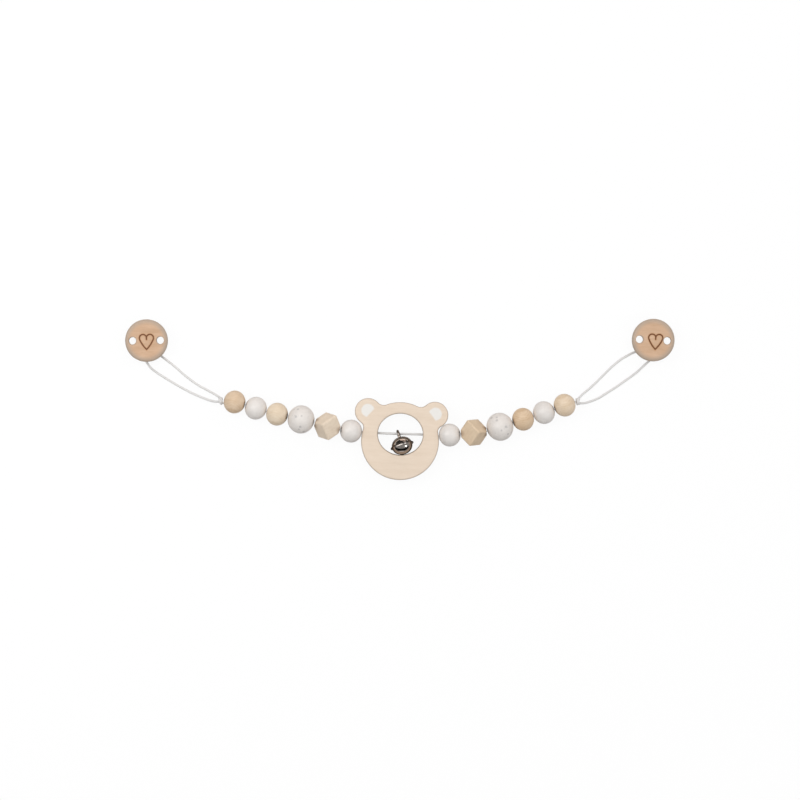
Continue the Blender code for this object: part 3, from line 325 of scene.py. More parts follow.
def tube(name, points, diameter, around=24, relief=0.0, strands=12, pitch=1.8, ease=0.0):
    """A round tube along the points; relief raises the crossing strands of a braid."""
    points = np.array(points, float)
    ways = np.gradient(points, axis=0)
    ways /= np.linalg.norm(ways, axis=1)[:, None]
    travelled = np.concatenate([[0], np.cumsum(np.linalg.norm(np.diff(points, axis=0), axis=1))])
    side = np.cross(ways[0], (0, 0, 1) if abs(ways[0][2]) < 0.9 else (1, 0, 0))
    corners = []
    turn = np.arange(around) * math.tau / around
    for point, way, along in zip(points, ways, travelled):
        side = side - way * side.dot(way)
        side /= np.linalg.norm(side)
        up = np.cross(way, side)
        left = strands / 2 * turn + math.tau * along / pitch
        right = strands / 2 * turn - math.tau * along / pitch
        lift = np.sqrt(np.abs(np.sin(left / 2) * np.sin(right / 2)))
        radius = diameter / 2 * (1 - relief + relief * lift)
        end = min(along, travelled[-1] - along)
        if end < ease:
            radius = radius * (0.45 + 0.55 * math.sqrt(max(0.0, 1 - (1 - end / ease) ** 2)))
        across, aside = np.cos(turn) * radius, np.sin(turn) * radius
        corners += list(point + across[:, None] * side + aside[:, None] * up)
    faces = []
    for ring in range(len(points) - 1):
        for step in range(around):
            after = (step + 1) % around
            faces.append((ring * around + step, ring * around + after,
                          (ring + 1) * around + after, (ring + 1) * around + step))
    last = (len(points) - 1) * around
    faces += [tuple(range(around)), tuple(range(last, last + around))]
    return mesh_from(name, corners, faces, 60)


def join(name, meshes):
    """One mesh of several."""
    mesh_data = bmesh.new()
    for data in meshes:
        mesh_data.from_mesh(data)
    made = bpy.data.meshes.new(name)
    mesh_data.to_mesh(made)
    mesh_data.free()
    shade(made, 60)
    return made


def add_piece(name, data, world, body, nodes, material):
    """A piece on a body, in place of CAD nodes; its mesh is put into the model's frame."""
    data.transform(world @ Matrix.Scale(MM, 4))
    made = bpy.data.objects.new(name, data)
    bpy.context.scene.collection.objects.link(made)
    data.materials.clear()
    data.materials.append(material)
    for face in data.polygons:
        face.material_index = 0
    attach(made, body)
    if nodes:
        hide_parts(*nodes)
    return made


# Node graphs

class Graph:
    """A node graph; values are sockets or plain numbers."""

    def __init__(self, tree):
        self.tree = tree

    def feed(self, socket, value):
        if isinstance(value, bpy.types.NodeSocket):
            self.tree.links.new(value, socket)
        elif value is not None:
            socket.default_value = value

    def add(self, kind, *values, **settings):
        made = self.tree.nodes.new(kind)
        for key, value in settings.items():
            setattr(made, key, value)
        for socket, value in zip(made.inputs, values):
            self.feed(socket, value)
        return made

    def math(self, operation, *values, clamp=False):
        return self.add("ShaderNodeMath", *values, operation=operation, use_clamp=clamp).outputs[0]

    def step(self, value, low, high, start=0.0, end=1.0):
        """A smooth ramp from start to end as value goes from low to high."""
        made = self.add("ShaderNodeMapRange", value, low, high, start, end, interpolation_type="SMOOTHSTEP")
        return made.outputs[0]

    def mix(self, share, first, second):
        made = self.add("ShaderNodeMix", data_type="RGBA")
        self.feed(made.inputs[0], share)
        for socket, colour in zip(made.inputs[6:8], (first, second)):
            self.feed(socket, (*colour, 1.0) if isinstance(colour, tuple) else colour)
        return made.outputs[2]

    def local(self, world):
        """Coordinates in a piece's own frame, in millimetres."""
        spot = self.add("ShaderNodeTexCoord").outputs["Object"]
        made = self.add("ShaderNodeMapping", spot, vector_type="TEXTURE")
        made.inputs["Location"].default_value = world.translation
        made.inputs["Rotation"].default_value = world.to_euler()
        made.inputs["Scale"].default_value = (MM,) * 3
        return made.outputs[0]

    def stretch(self, spot, scale, offset=(0, 0, 0)):
        made = self.add("ShaderNodeMapping", spot)
        made.inputs["Location"].default_value = offset
        made.inputs["Scale"].default_value = scale
        return made.outputs[0]

    def noise(self, spot, scale, detail=2.0, roughness=0.5):
        made = self.add("ShaderNodeTexNoise", spot)
        made.inputs["Scale"].default_value = scale
        made.inputs["Detail"].default_value = detail
        made.inputs["Roughness"].default_value = roughness
        return made.outputs[0]

    def cells(self, spot, scale):
        made = self.add("ShaderNodeTexVoronoi", spot)
        made.inputs["Scale"].default_value = scale
        return made.outputs["Distance"], made.outputs["Color"]

    def parts(self, spot):
        return self.add("ShaderNodeSeparateXYZ", spot).outputs[:3]

    def length(self, *values):
        total = self.math("MULTIPLY", values[0], values[0])
        for value in values[1:]:
            total = self.math("MULTIPLY_ADD", value, value, total)
        return self.math("SQRT", total)


class Look(Graph):
    """A material's node graph."""

    def __init__(self, name):
        self.material = bpy.data.materials.new(name)
        self.material.use_nodes = True
        super().__init__(self.material.node_tree)
        self.shader = self.tree.nodes["Principled BSDF"]

    def bump(self, height, strength, distance):
        made = self.add("ShaderNodeBump")
        made.inputs["Strength"].default_value = strength
        made.inputs["Distance"].default_value = distance
        self.feed(made.inputs["Height"], height)
        self.feed(self.shader.inputs["Normal"], made.outputs[0])

    def finish(self, colour=None, roughness=None, **plain):
        self.feed(self.shader.inputs["Base Color"], colour)
        self.feed(self.shader.inputs["Roughness"], roughness)
        for key, value in plain.items():
            self.shader.inputs[key.replace("_", " ")].default_value = value
        return self.material


def wood_graph(look, spot, light, dark, ring, pith, strength=1.0):
    """Colour, roughness and height of wood whose grain runs along X; all lengths are in millimetres.

    ring is the width of a year's ring, and pith is how far the middle of the rings lies away.
    """
    _, across, aside = look.parts(spot)
    waver = look.noise(look.stretch(spot, (0.05, 0.35, 0.35)), 1.0, 2.0)
    radius = look.length(look.math("ADD", across, pith[0]), look.math("ADD", aside, pith[1]))
    radius = look.math("ADD", radius, look.math("MULTIPLY", waver, ring * 1.6))
    wave = look.math("SINE", look.math("MULTIPLY", radius, math.tau / ring))
    rings = look.math("POWER", look.math("MULTIPLY_ADD", wave, 0.5, 0.5), 3.0)
    broad = look.noise(look.stretch(spot, (0.05, 0.16, 0.16), (3.0, 1.0, 5.0)), 1.0, 3.0)
    fibre = look.noise(look.stretch(spot, (0.22, 4.5, 4.5)), 1.0, 4.0, 0.62)
    fleck = look.step(look.noise(look.stretch(spot, (0.5, 3.4, 3.4), (9.0, 2.0, 4.0)), 1.0, 2.0), 0.63, 0.72)
    share = look.math("MULTIPLY", rings, 0.17 * strength)
    share = look.math("ADD", share, look.math("MULTIPLY", look.math("SUBTRACT", broad, 0.32), 1.1 * strength))
    share = look.math("ADD", share, look.math("MULTIPLY", look.math("SUBTRACT", fibre, 0.4), 0.9 * strength))
    share = look.math("ADD", share, look.math("MULTIPLY", fleck, 0.32 * strength), clamp=True)
    colour = look.mix(share, light, dark)
    roughness = look.math("MULTIPLY_ADD", fibre, 0.22, 0.40)
    height = look.math("SUBTRACT", fibre, look.math("MULTIPLY", fleck, 0.8))
    return colour, roughness, height


def wood_look(name, world, light, dark, pith, strength=1.0, mouth=None):
    """Bare wood; round the bore's mouths on the X axis of the mouth frame it is browned, partly as darker end
    grain and partly as painted shade where the beads meet.
    """
    look = Look(name)
    colour, roughness, height = wood_graph(look, look.local(world), light, dark, RING_WIDTH, pith, strength)
    _, across, aside = look.parts(look.local(mouth or world))
    # Browned bore mouths: darker end grain, and painted shade where neighbouring beads and the knot meet this
    # one
    near = look.step(look.length(across, aside), 2.0, 5.4, 0.75, 0.0)
    colour = look.mix(near, colour, WOOD_MOUTH_GRAIN_AND_SHADE)
    look.bump(height, 0.35, 0.00008)
    return look.finish(colour, roughness, Specular_IOR_Level=0.4, Coat_Weight=0.08, Coat_Roughness=0.35)


def heart_distance(look, across, along):
    """Distance to the line of a plain heart, from the middle between its lobes, in millimetres."""
    x = look.math("ABSOLUTE", across)
    gap = look.math("SUBTRACT", x, HEART_LOBE)
    lobe = look.math("ABSOLUTE", look.math("SUBTRACT", look.length(gap, along), HEART_LOBE_RADIUS))
    flank = look.length(look.math("SUBTRACT", x, HEART_FLANK[0]),
                        look.math("SUBTRACT", along, HEART_FLANK[1]))
    flank = look.math("ABSOLUTE", look.math("SUBTRACT", flank, HEART_FLANK_RADIUS))
    above = look.math("ADD", look.math("MULTIPLY", gap, math.sin(HEART_LEAN)),
                      look.math("MULTIPLY", along, math.cos(HEART_LEAN)))
    on_lobe = look.math("GREATER_THAN", above, 0.0)
    heart = look.math("ADD", look.math("MULTIPLY", lobe, on_lobe),
                      look.math("MULTIPLY", flank, look.math("SUBTRACT", 1.0, on_lobe)))
    cleft = look.math("MINIMUM", look.math("MAXIMUM", along, HEART_CLEFT[0]), HEART_CLEFT[1])
    return look.math("MINIMUM", heart, look.length(x, look.math("SUBTRACT", along, cleft)))


def disc_look(side):
    """Wood with a burnt-in heart outline on the front face, greyed at the rim and round the vents as painted
    shade.
    """
    look = Look(f"clip_disc_{side}")
    world = clip_frame(side)
    spot = look.local(world)
    colour, roughness, height = wood_graph(
        look, look.stretch(spot, (1, 1, 1), (31.0 if side == "left" else 7.0, 0, 0)),
        *DISC_TONES[side], 2.1, (4.0, 30.0))
    across, along, up = look.parts(spot)
    ripple = look.math("MULTIPLY_ADD", look.noise(spot, 0.9, 2.0), 0.4, -0.2 - HEART_SPOT[side][0])
    away = heart_distance(look, look.math("ADD", across, ripple),
                          look.math("SUBTRACT", along, HEART_SPOT[side][1]))
    front = look.step(up, 11.5, 12.0)
    line = look.math("MULTIPLY", look.step(away, 0.40, 0.86, 1.0, 0.0), front)
    singe = look.math("MULTIPLY", look.step(away, 0.5, 1.9, 0.5, 0.0), front)
    grain = look.noise(look.stretch(spot, (0.4, 3.0, 3.0)), 1.0, 3.0)
    colour = look.mix(singe, colour, SINGED)
    burnt = look.math("MULTIPLY", line, look.step(grain, 0.15, 0.6, 0.85, 1.0))
    colour = look.mix(burnt, colour, BURNT)
    # Painted shade: the rounded rim and the edges of the vents are greyed
    rim = look.step(look.length(across, along), 13.0, 18.4, 0.0, 0.85)
    vent = look.length(look.math("SUBTRACT", look.math("ABSOLUTE", across), VENT_SPACING / 2), along)
    greyed = look.math("MAXIMUM", rim, look.step(vent, 3.1, 4.8, 0.6, 0.0))
    colour = look.mix(greyed, colour, DISC_RIM_SHADE)
    height = look.math("SUBTRACT", height, look.math("MULTIPLY", line, 2.5))
    look.bump(height, 0.45, 0.0001)
    return look.finish(colour, roughness, Specular_IOR_Level=0.4, Coat_Weight=0.1, Coat_Roughness=0.3)


def bear_look():
    """Pale wood with white-painted inner ears, and rounded edges and walls darkened grey-brown, partly as
    darker cut wood and partly as painted shade.
    """
    look = Look("bear_ring")
    spot = look.local(bear_frame())
    colour, roughness, height = wood_graph(look, spot, *BEAR_TONES, 3.4, (40.0, 12.0), 0.7)
    across, along, up = look.parts(spot)
    x = look.math("SUBTRACT", look.math("ABSOLUTE", across), EAR_PATCH[0])
    y = look.math("SUBTRACT", along, EAR_PATCH[1])
    straight = look.math("ADD", look.math("MULTIPLY", x, EAR_PATCH_WAY[0]),
                         look.math("MULTIPLY", y, EAR_PATCH_WAY[1]))
    waver = look.math("MULTIPLY_ADD", look.noise(spot, 0.7, 2.0), 1.0, -0.5)
    reach = look.math("MAXIMUM", look.math("SUBTRACT", look.length(x, y), EAR_PATCH_RADIUS),
                      look.math("SUBTRACT", straight, EAR_PATCH_REACH))
    reach = look.math("ADD", reach, waver)
    patch = look.math("MULTIPLY", look.step(reach, -0.9, 0.7, 1.0, 0.0), look.step(up, 12.5, 12.9))
    colour = look.mix(patch, colour, EAR_WHITE)
    # Painted shade, partly darker cut wood: faces that turn away from up, the rounded edges and walls, are
    # darkened grey-brown
    facing = look.parts(look.add("ShaderNodeNewGeometry").outputs["Normal"])[2]
    edge = look.step(look.math("ABSOLUTE", facing), 0.2, 0.995, 0.9, 0.0)
    colour = look.mix(edge, colour, BEAR_EDGE_SHADE)
    look.bump(look.math("MULTIPLY_ADD", patch, 0.8, height), 0.3, 0.00008)
    return look.finish(colour, roughness, Specular_IOR_Level=0.35)


def paint_look(name, world, colour, beside_ring=False):
    """Satin paint over turned wood: faint turning rings, slight tone change, painted shade round the bore
    mouths.

    The bead beside the ring has painted shade on the side that faces it.
    """
    look = Look(name)
    spot = look.local(world)
    along, across, aside = look.parts(spot)
    tone = look.noise(spot, 0.22, 3.0)
    tint = tuple(channel * 0.93 for channel in colour)
    base = look.mix(look.step(tone, 0.3, 0.75), colour, tint)
    # Painted shade round the bore mouths, where the neighbouring beads meet this one
    mouth = look.step(look.length(across, aside), 2.0, 5.2, 0.75, 0.0)
    if beside_ring:
        mouth = look.math("MULTIPLY", mouth, look.step(along, -1.0, 1.0, 1.0, 0.35))
        # Painted shade on the side that faces the ring; the bead's axis is not level, so the way to the ring
        # is worked out level with the surface
        level = look.math("MULTIPLY_ADD", aside, -0.29, look.math("MULTIPLY", along, 0.957))
        mouth = look.math("MAXIMUM", mouth, look.step(level, -10.0, -8.2, 0.8, 0.0))
    base = look.mix(mouth, base, PAINT_MOUTH_SHADE)
    turning = look.math("SINE", look.math("MULTIPLY_ADD", along, 6.0, look.math("MULTIPLY", tone, 3.0)))
    height = look.math("ADD", look.math("MULTIPLY", turning, 0.25), look.noise(spot, 2.2, 3.0))
    look.bump(height, 0.22, 0.00006)
    return look, spot, base


def white_look(name, world, beside_ring):
    look, spot, base = paint_look(name, world, WHITE_PAINT, beside_ring)
    roughness = look.step(look.noise(spot, 0.8, 3.0), 0.25, 0.8, 0.36, 0.52)
    return look.finish(base, roughness, Coat_Weight=0.10, Coat_Roughness=0.3)


def speckled_look(name, world):
    """White paint with soft grey dots of several sizes."""
    look, spot, base = paint_look(name, world, SPECKLED_PAINT)
    for cell, least, most, strength, colour in SPECKLES:
        away, chance = look.cells(look.stretch(spot, (1, 1, 1), (cell, 2 * cell, 0)), 1 / cell)
        size = look.step(look.parts(chance)[0], 0.0, 1.0, least, most)
        away = look.math("MULTIPLY", away, cell)
        away = look.math("ADD", away, look.math("MULTIPLY_ADD", look.noise(spot, 1.6, 2.0), 0.5, -0.25))
        dot = look.math("SUBTRACT", away, size)
        base = look.mix(look.step(dot, -0.3, 0.3, strength, 0.0), base, colour)
    return look.finish(base, 0.46, Coat_Weight=0.08, Coat_Roughness=0.35)


def cord_look(name, shade=1.0):
    """Smooth braided polyester with fine threads and faint grey patches; shade darkens all its colours, as
    painted shade for the cord in the gaps between beads.
    """
    look = Look(name)
    light, dark, greyed = (tuple(channel * shade for channel in tone) for tone in CORD_TONES)
    spot = look.local(Matrix.Identity(4))
    thread = look.noise(spot, 7.0, 3.0, 0.7)
    broad = look.noise(spot, 0.35, 2.0)
    base = look.mix(look.step(thread, 0.3, 0.7), light, dark)
    base = look.mix(look.step(broad, 0.4, 0.8, 0.0, 0.3), base, greyed)
    look.bump(thread, 0.15, 0.00003)
    return look.finish(base, 0.62, Sheen_Weight=0.2, Sheen_Roughness=0.4)


def metal_look(name, light, dark, low, high, brush=(1, 1, 1), grain=1.2):
    """Plated metal with stains, fine scratches and uneven polish."""
    look = Look(name)
    spot = look.local(Matrix.Identity(4))
    stain = look.noise(spot, 0.30, 4.0, 0.6)
    scratch = look.noise(look.stretch(spot, brush), grain, 4.0, 0.7)
    base = look.mix(look.step(stain, 0.35, 0.7), light, dark)
    base = look.mix(look.step(scratch, 0.5, 0.8, 0.0, 0.25), base, dark)
    roughness = look.step(scratch, 0.2, 0.8, low, high)
    look.bump(look.math("MULTIPLY_ADD", stain, 0.5, scratch), 0.15, 0.00005)
    return look.finish(base, roughness, Metallic=1.0)


def bell_look(name):
    """Polished nickel, stained; darker round the seam, a dark joint with painted shade of the flange, and
    browner everywhere but at its top as a painted dark reflection.
    """
    look = Look(name)
    spot = look.local(bell_frame())
    _, across, up = look.parts(spot)
    stain = look.noise(spot, 0.35, 4.0, 0.6)
    scratch = look.noise(look.stretch(spot, (1, 1, 4)), 1.4, 4.0, 0.7)
    base = look.mix(look.step(stain, 0.35, 0.7), *BELL_TONES)
    # Darker round the seam: a dark joint, and painted shade of the flange on the shells
    seam = look.step(look.math("ABSOLUTE", up), 0.2, 1.1, 0.7, 0.0)
    base = look.mix(seam, base, BELL_SEAM_SHADE)
    # Painted reflection: browner and darker everywhere but at one side, for the dark surroundings that the
    # metal reflects, broken up by the stains
    dark_reflection = look.step(look.math("ADD", across, look.math("MULTIPLY", stain, 1.5)), -6.6, -4.4, 0.0, 0.62)
    base = look.mix(dark_reflection, base, BELL_DARK_REFLECTION)
    roughness = look.step(scratch, 0.2, 0.85, 0.07, 0.17)
    look.bump(look.math("MULTIPLY_ADD", stain, 0.5, scratch), 0.12, 0.00005)
    return look.finish(base, roughness, Metallic=1.0)


def pad_look(name):
    look = Look(name)
    spot = look.local(Matrix.Identity(4))
    cloud = look.noise(spot, 0.8, 4.0)
    base = look.mix(look.step(cloud, 0.3, 0.7), *PAD_TONES)
    look.bump(cloud, 0.2, 0.00008)
    roughness = look.step(cloud, 0.2, 0.8, 0.35, 0.6)
    return look.finish(base, roughness, Subsurface_Weight=0.15, Subsurface_Scale=0.001)


def paint(node, material):
    data = NODES[node].data
    data.materials.clear()
    data.materials.append(material)
    for face in data.polygons:
        face.material_index = 0


# Camera and cords

def build_camera():
    data = bpy.data.cameras.new("camera")
    data.lens = LENS
    data.sensor_width = SENSOR
    data.clip_start, data.clip_end = 0.1, 20
    camera = bpy.data.objects.new("camera", data)
    bpy.context.scene.collection.objects.link(camera)
    camera.location = (*CAMERA_SPOT, VIEW_WIDTH * LENS / SENSOR + VIEW_LEVEL)
    bpy.context.scene.camera = camera


def loop_points(side, spacing):
    """The loop's centreline in the model's frame, in metres."""
    knot = joint_spot(f"clip_hang_{side}")
    route = [(knot.x + SIDES[side] * out * MM, knot.y + up * MM, height * MM)
             for out, up, height in LOOP_ROUTE[side]]
    return smooth_route(route, spacing)


def build_loop(side, material):
    """The braided loop, from the knot through the clip's slot and back to the knot."""
    fine = loop_points(side, CORD_STEP * MM)
    data = tube(f"loop_{side}", fine / MM, CORD_DIAMETER, relief=BRAID)
    piece = add_piece(f"cord_loop_{side}", data, Matrix.Identity(4), f"clip_{side}",
                      [f"clip_loop_{side}"], material)


def build_knot(side, material):
    """A wound knot: its wraps stay with the last bead, and inside them the loop's two ends swing."""
    out, up, lean = KNOT_SPOT[side]
    joint = joint_spot(f"clip_hang_{side}")
    middle = joint + Vector((SIDES[side] * out, up, 0)) * MM
    world = Matrix.Translation(middle) @ Matrix.Rotation(math.radians(lean), 4, "Z")
    wraps, core = [], []
    for share in np.linspace(0, 1, 48):
        turn = math.radians(KNOT_START) + math.tau * KNOT_TURNS * share
        swell = 1.0 + KNOT_SWELL * math.sin(math.pi * share)
        wraps.append((-WRAPS_HALF + 2 * WRAPS_HALF * share, WRAPS_RADII[0] * swell * math.cos(turn),
                      WRAPS_RADII[1] * swell * math.sin(turn)))
        core.append((-CORE_HALF + 2 * CORE_HALF * share, CORE_RADIUS * math.cos(turn),
                     CORE_RADIUS * math.sin(turn)))
    across = smooth_route(KNOT_ACROSS, CORD_STEP)
    shell = [tube("wraps", wraps, WRAPS_CORD, relief=BRAID, ease=0.6),
             tube("across", across, CROSSING_CORD, relief=BRAID, ease=0.6)]
    add_piece(f"knot_wraps_{side}", join("wraps", shell), world, f"strand_{side}_6", [], material)
    parts = [tube("core", core, CORE_CORD, relief=BRAID, ease=0.5)]
    ends = loop_points(side, CORD_STEP * MM)
    for point, way in ((ends[0], ends[0] - ends[4]), (ends[-1], ends[-1] - ends[-5])):
        way = way / np.linalg.norm(way)
        run = [(point + way * reach * MM - np.array(joint)) / MM for reach in (-0.4, 0.2, 0.8, 1.4, 2.0)]
        parts.append(tube("end", run, END_CORD, relief=BRAID, ease=0.5))
    add_piece(f"knot_form_{side}", join("knot", parts), Matrix.Translation(joint), f"knot_end_{side}",
              [f"knot_{side}"], material)


def build_strands(side, material):
    """The cord through each bead, which shows in the gaps."""
    lengths = {2: CUBE_LENGTH, 3: SPECKLED_BALL[1]}
    for number in range(1, 7):
        world = bead_frame(side, number)
        start = joint_spot(f"bend_{side}_{number}")
        before = (world.translation - start).length / MM
        after = lengths.get(number, SMALL_BALL[1]) / 2 + STRAND_PAST
        along = np.arange(STRAND_START - before, after, CORD_STEP)
        points = np.stack([along, *np.zeros((2, len(along)))], axis=1)
        data = tube("strand", points, CORD_DIAMETER, relief=BRAID, ease=0.5)
        add_piece(f"strand_in_bead_{side}_{number}", data, world, f"strand_{side}_{number}",
                  [f"cord_segment_{side}_{number}"], material)


def build_center_cord(material):
    """The cord across the ring's opening, between the two bore mouths."""
    reach = math.sqrt(HEAD_RADIUS ** 2 - OPENING_RISE ** 2) + CHEEK_PAST
    along = np.arange(-reach, reach, CORD_STEP)
    spread = np.where(along < OPENING[0], *RISE_SPREAD)
    rise = CORD_RISE * np.exp(-((along - OPENING[0]) / spread) ** 2)
    points = np.stack([along, OPENING_RISE + rise, np.full(len(along), CORD_HEIGHT)], axis=1)
    data = tube("center", points, CORD_DIAMETER, relief=BRAID, ease=0.5)
    add_piece("cord_across_ring", data, bear_frame(), "bear", ["cord_center"], material)


# Beads

BEADS = ["white_bead_{}_inner", "cube_bead_{}", "speckled_bead_{}",
         "wood_bead_{}_inner", "white_bead_{}_outer", "wood_bead_{}_outer"]
WOOD_TONES = {
    ("left", 2): ((0.82, 0.70, 0.56), (0.66, 0.53, 0.40)),
    ("left", 4): ((0.87, 0.75, 0.60), (0.64, 0.49, 0.33)),
    ("left", 6): ((0.81, 0.65, 0.49), (0.56, 0.38, 0.22)),
    ("right", 2): ((0.76, 0.60, 0.43), (0.60, 0.45, 0.30)),
    ("right", 4): ((0.81, 0.64, 0.465), (0.56, 0.37, 0.205)),
    ("right", 6): ((0.87, 0.73, 0.575), (0.64, 0.475, 0.30)),
}
ALONG_X = Matrix.Rotation(math.pi / 2, 4, "Y")
# From the cube's body diagonal to the normal of its nearest face
CUBE_LEAN = math.radians(-54.7356)


def ball_mesh(across, along):
    """A drilled ball with rounded bore mouths."""
    radius, half, bore = across / 2, along / 2, BORE / 2
    start = math.asin((bore + MOUTH_ROUND) / radius)
    profile = []
    for angle in np.linspace(start, math.pi - start, 45):
        profile.append((radius * math.sin(angle), -half * math.cos(angle)))
    depth = half * math.cos(start)
    mouth = [(bore + outward, depth - inward) for outward, inward in MOUTH_POINTS]
    profile += mouth + [(spot, -height) for spot, height in mouth[::-1]]
    return moved(lathe("ball", profile, TURNED_SIDES, closed=True, smooth=60), ALONG_X)


def cube_mesh():
    """A rounded cube on its corner, both corners on the bore cut flat."""
    mesh_data = bmesh.new()
    bmesh.ops.create_cube(mesh_data, size=CUBE_EDGE)
    bmesh.ops.bevel(mesh_data, geom=list(mesh_data.edges), offset=CUBE_ROUND, segments=7, profile=0.5,
                    affect="EDGES")
    diagonal = Vector((1, 1, 1)).normalized()
    corner = Vector((1, 1, -1))
    up = (corner - diagonal * corner.dot(diagonal)).normalized()
    turned = Matrix((diagonal, up.cross(diagonal), up)).to_4x4()
    bmesh.ops.transform(mesh_data, matrix=turned, verts=mesh_data.verts)
    for side in (-1, 1):
        cut = bmesh.ops.bisect_plane(
            mesh_data, geom=[*mesh_data.verts, *mesh_data.edges, *mesh_data.faces],
            plane_co=(side * CUBE_LENGTH / 2, 0, 0), plane_no=(side, 0, 0), clear_outer=True)
        edges = [piece for piece in cut["geom_cut"] if isinstance(piece, bmesh.types.BMEdge)]
        filled = bmesh.ops.edgeloop_fill(mesh_data, edges=edges)
        bmesh.ops.bevel(mesh_data, geom=list(filled["faces"][0].edges), offset=CUT_BEVEL, segments=4,
                        profile=0.5, affect="EDGES")
    data = bpy.data.meshes.new("cube")
    bmesh.ops.recalc_face_normals(mesh_data, faces=mesh_data.faces)
    mesh_data.to_mesh(data)
    mesh_data.free()
    return carve(data, [moved(rod(CUBE_LENGTH, BORE, BORE_CHAMFER), ALONG_X)], 30)


def build_beads():
    for side in SIDES:
        for number, pattern in enumerate(BEADS, start=1):
            name = pattern.format(side)
            world = bead_frame(side, number)
            ball = SPECKLED_BALL if "speckled" in name else SMALL_BALL
            data = cube_mesh() if "cube" in name else ball_mesh(*ball)
            slot = "beech"
            if "white" in name:
                material, slot = white_look(name, world, number == 1), "white_paint"
            elif "speckled" in name:
                material, slot = speckled_look(name, world), "speckled_paint"
            elif "cube" in name:
                turned = world @ Matrix.Rotation(CUBE_LEAN, 4, "Y")
                material = wood_look(name, turned, *WOOD_TONES[side, number], pith=(9.0, 16.0), mouth=world)
            else:
                material = wood_look(name, world, *WOOD_TONES[side, number], pith=(8.0 + number, 3.0),
                                     strength=1.2)
            add_piece(f"{name}_form", data, world, f"bead_{side}_{number}", [name], material)


# Bear ring

def head_outline():
    """Points and outward normals of the head and ears, from the chin round and back."""
    ear = Vector(EAR_SPOT)
    ends = []
    for fillet, sense in zip(EAR_FILLETS, (-1, 1)):
        reach, ear_reach = HEAD_RADIUS + fillet, EAR_RADIUS + fillet
        spread = math.acos((ear.length ** 2 + reach ** 2 - ear_reach ** 2) / (2 * ear.length * reach))
        turn = math.atan2(ear.y, ear.x) + sense * spread
        spot = Vector((math.cos(turn), math.sin(turn))) * reach
        ends.append((turn, spot, math.atan2(spot.y - ear.y, spot.x - ear.x)))
    (low, low_spot, low_turn), (high, high_spot, high_turn) = ends
    runs = [
        (Vector((0, 0)), HEAD_RADIUS, -math.pi / 2, low, 60, 1),
        (low_spot, EAR_FILLETS[0], low + math.pi, low_turn + math.pi, 14, -1),
        (ear, EAR_RADIUS, low_turn, high_turn, 44, 1),
        (high_spot, EAR_FILLETS[1], high_turn - math.pi, high - math.pi, 18, -1),
        (Vector((0, 0)), HEAD_RADIUS, high, math.pi / 2, 16, 1),
    ]
    half = []
    for centre, radius, start, end, steps, sense in runs:
        for turn in np.linspace(start, end, steps, endpoint=False):
            way = Vector((math.cos(turn), math.sin(turn)))
            half.append((centre + way * radius, way * sense))
    crown = (Vector((0, HEAD_RADIUS)), Vector((0, 1)))
    mirrored = [(Vector((-spot.x, spot.y)), Vector((-way.x, way.y))) for spot, way in half[:0:-1]]
    return [*half, crown, *mirrored]


def wall(point, outward):
    """Section of a rounded wall, from the back face to the front face."""
    places = []
    for turn in np.linspace(0, math.pi / 2, 8):
        spot = point - outward * BEAR_ROUND * (1 - math.sin(turn))
        places.append((spot, BEAR_ROUND * (1 - math.cos(turn))))
    places += [(spot, BEAR_THICKNESS - height) for spot, height in places[::-1]]
    return [(spot.x, spot.y, height) for spot, height in places]


def between(start, end):
    """Four points on the straight line between two."""
    return [tuple(np.array(start) * (1 - share) + np.array(end) * share) for share in (0.2, 0.4, 0.6, 0.8)]


def bear_mesh():
    """The plate: one rounded section at each point of the outline, with rings on its two faces."""
    corners, sections = [], []
    for point, outward in head_outline():
        toward = (point - Vector((0, OPENING_RISE))).normalized()
        inner = toward / math.hypot(toward.x / OPENING[0], toward.y / OPENING[1])
        inward = -Vector((inner.x / OPENING[0] ** 2, inner.y / OPENING[1] ** 2)).normalized()
        outer_wall = wall(point, outward)
        inner_wall = wall(Vector((0, OPENING_RISE)) + inner, inward)[::-1]
        front, back = between(outer_wall[-1], inner_wall[0]), between(inner_wall[-1], outer_wall[0])
        section = outer_wall + front + inner_wall + back
        sections.append(range(len(corners), len(corners) + len(section)))
        corners += section
    faces = []
    for here, there in zip(sections, sections[1:] + sections[:1]):
        for step in range(len(here)):
            after = (step + 1) % len(here)
            faces.append((here[step], there[step], there[after], here[after]))
    data = mesh_from("bear", corners, faces, 50)
    bore = moved(rod(90, BORE), Matrix.Translation((0, OPENING_RISE, BEAR_THICKNESS / 2)) @ ALONG_X)
    return carve(data, [bore], 50)


# Bell

def shell_profile(sense):
    """Half of the bell's body with a thin rolled flange."""
    seam, step = 0.04, 0.50
    inner = []
    for angle in np.linspace(math.pi / 2, math.asin(seam / (BELL_HALF_HEIGHT - BELL_WALL)), 14):
        inner.append(((BELL_RADIUS - BELL_WALL) * math.cos(angle),
                      (BELL_HALF_HEIGHT - BELL_WALL) * math.sin(angle)))
    flange = [(BELL_FLANGE + outward, seam + away) for outward, away in FLANGE_TIP]
    flange += [(BELL_RADIUS + outward, seam + away) for outward, away in FLANGE_ROOT]
    outer = []
    for angle in np.linspace(math.asin((seam + step) / BELL_HALF_HEIGHT), math.pi / 2, 24):
        outer.append((BELL_RADIUS * math.cos(angle), BELL_HALF_HEIGHT * math.sin(angle)))
    profile = [*inner, *flange, *outer]
    profile[0] = (0.0, BELL_HALF_HEIGHT - BELL_WALL)
    profile[-1] = (0.0, BELL_HALF_HEIGHT)
    return [(radius, sense * height) for radius, height in profile]


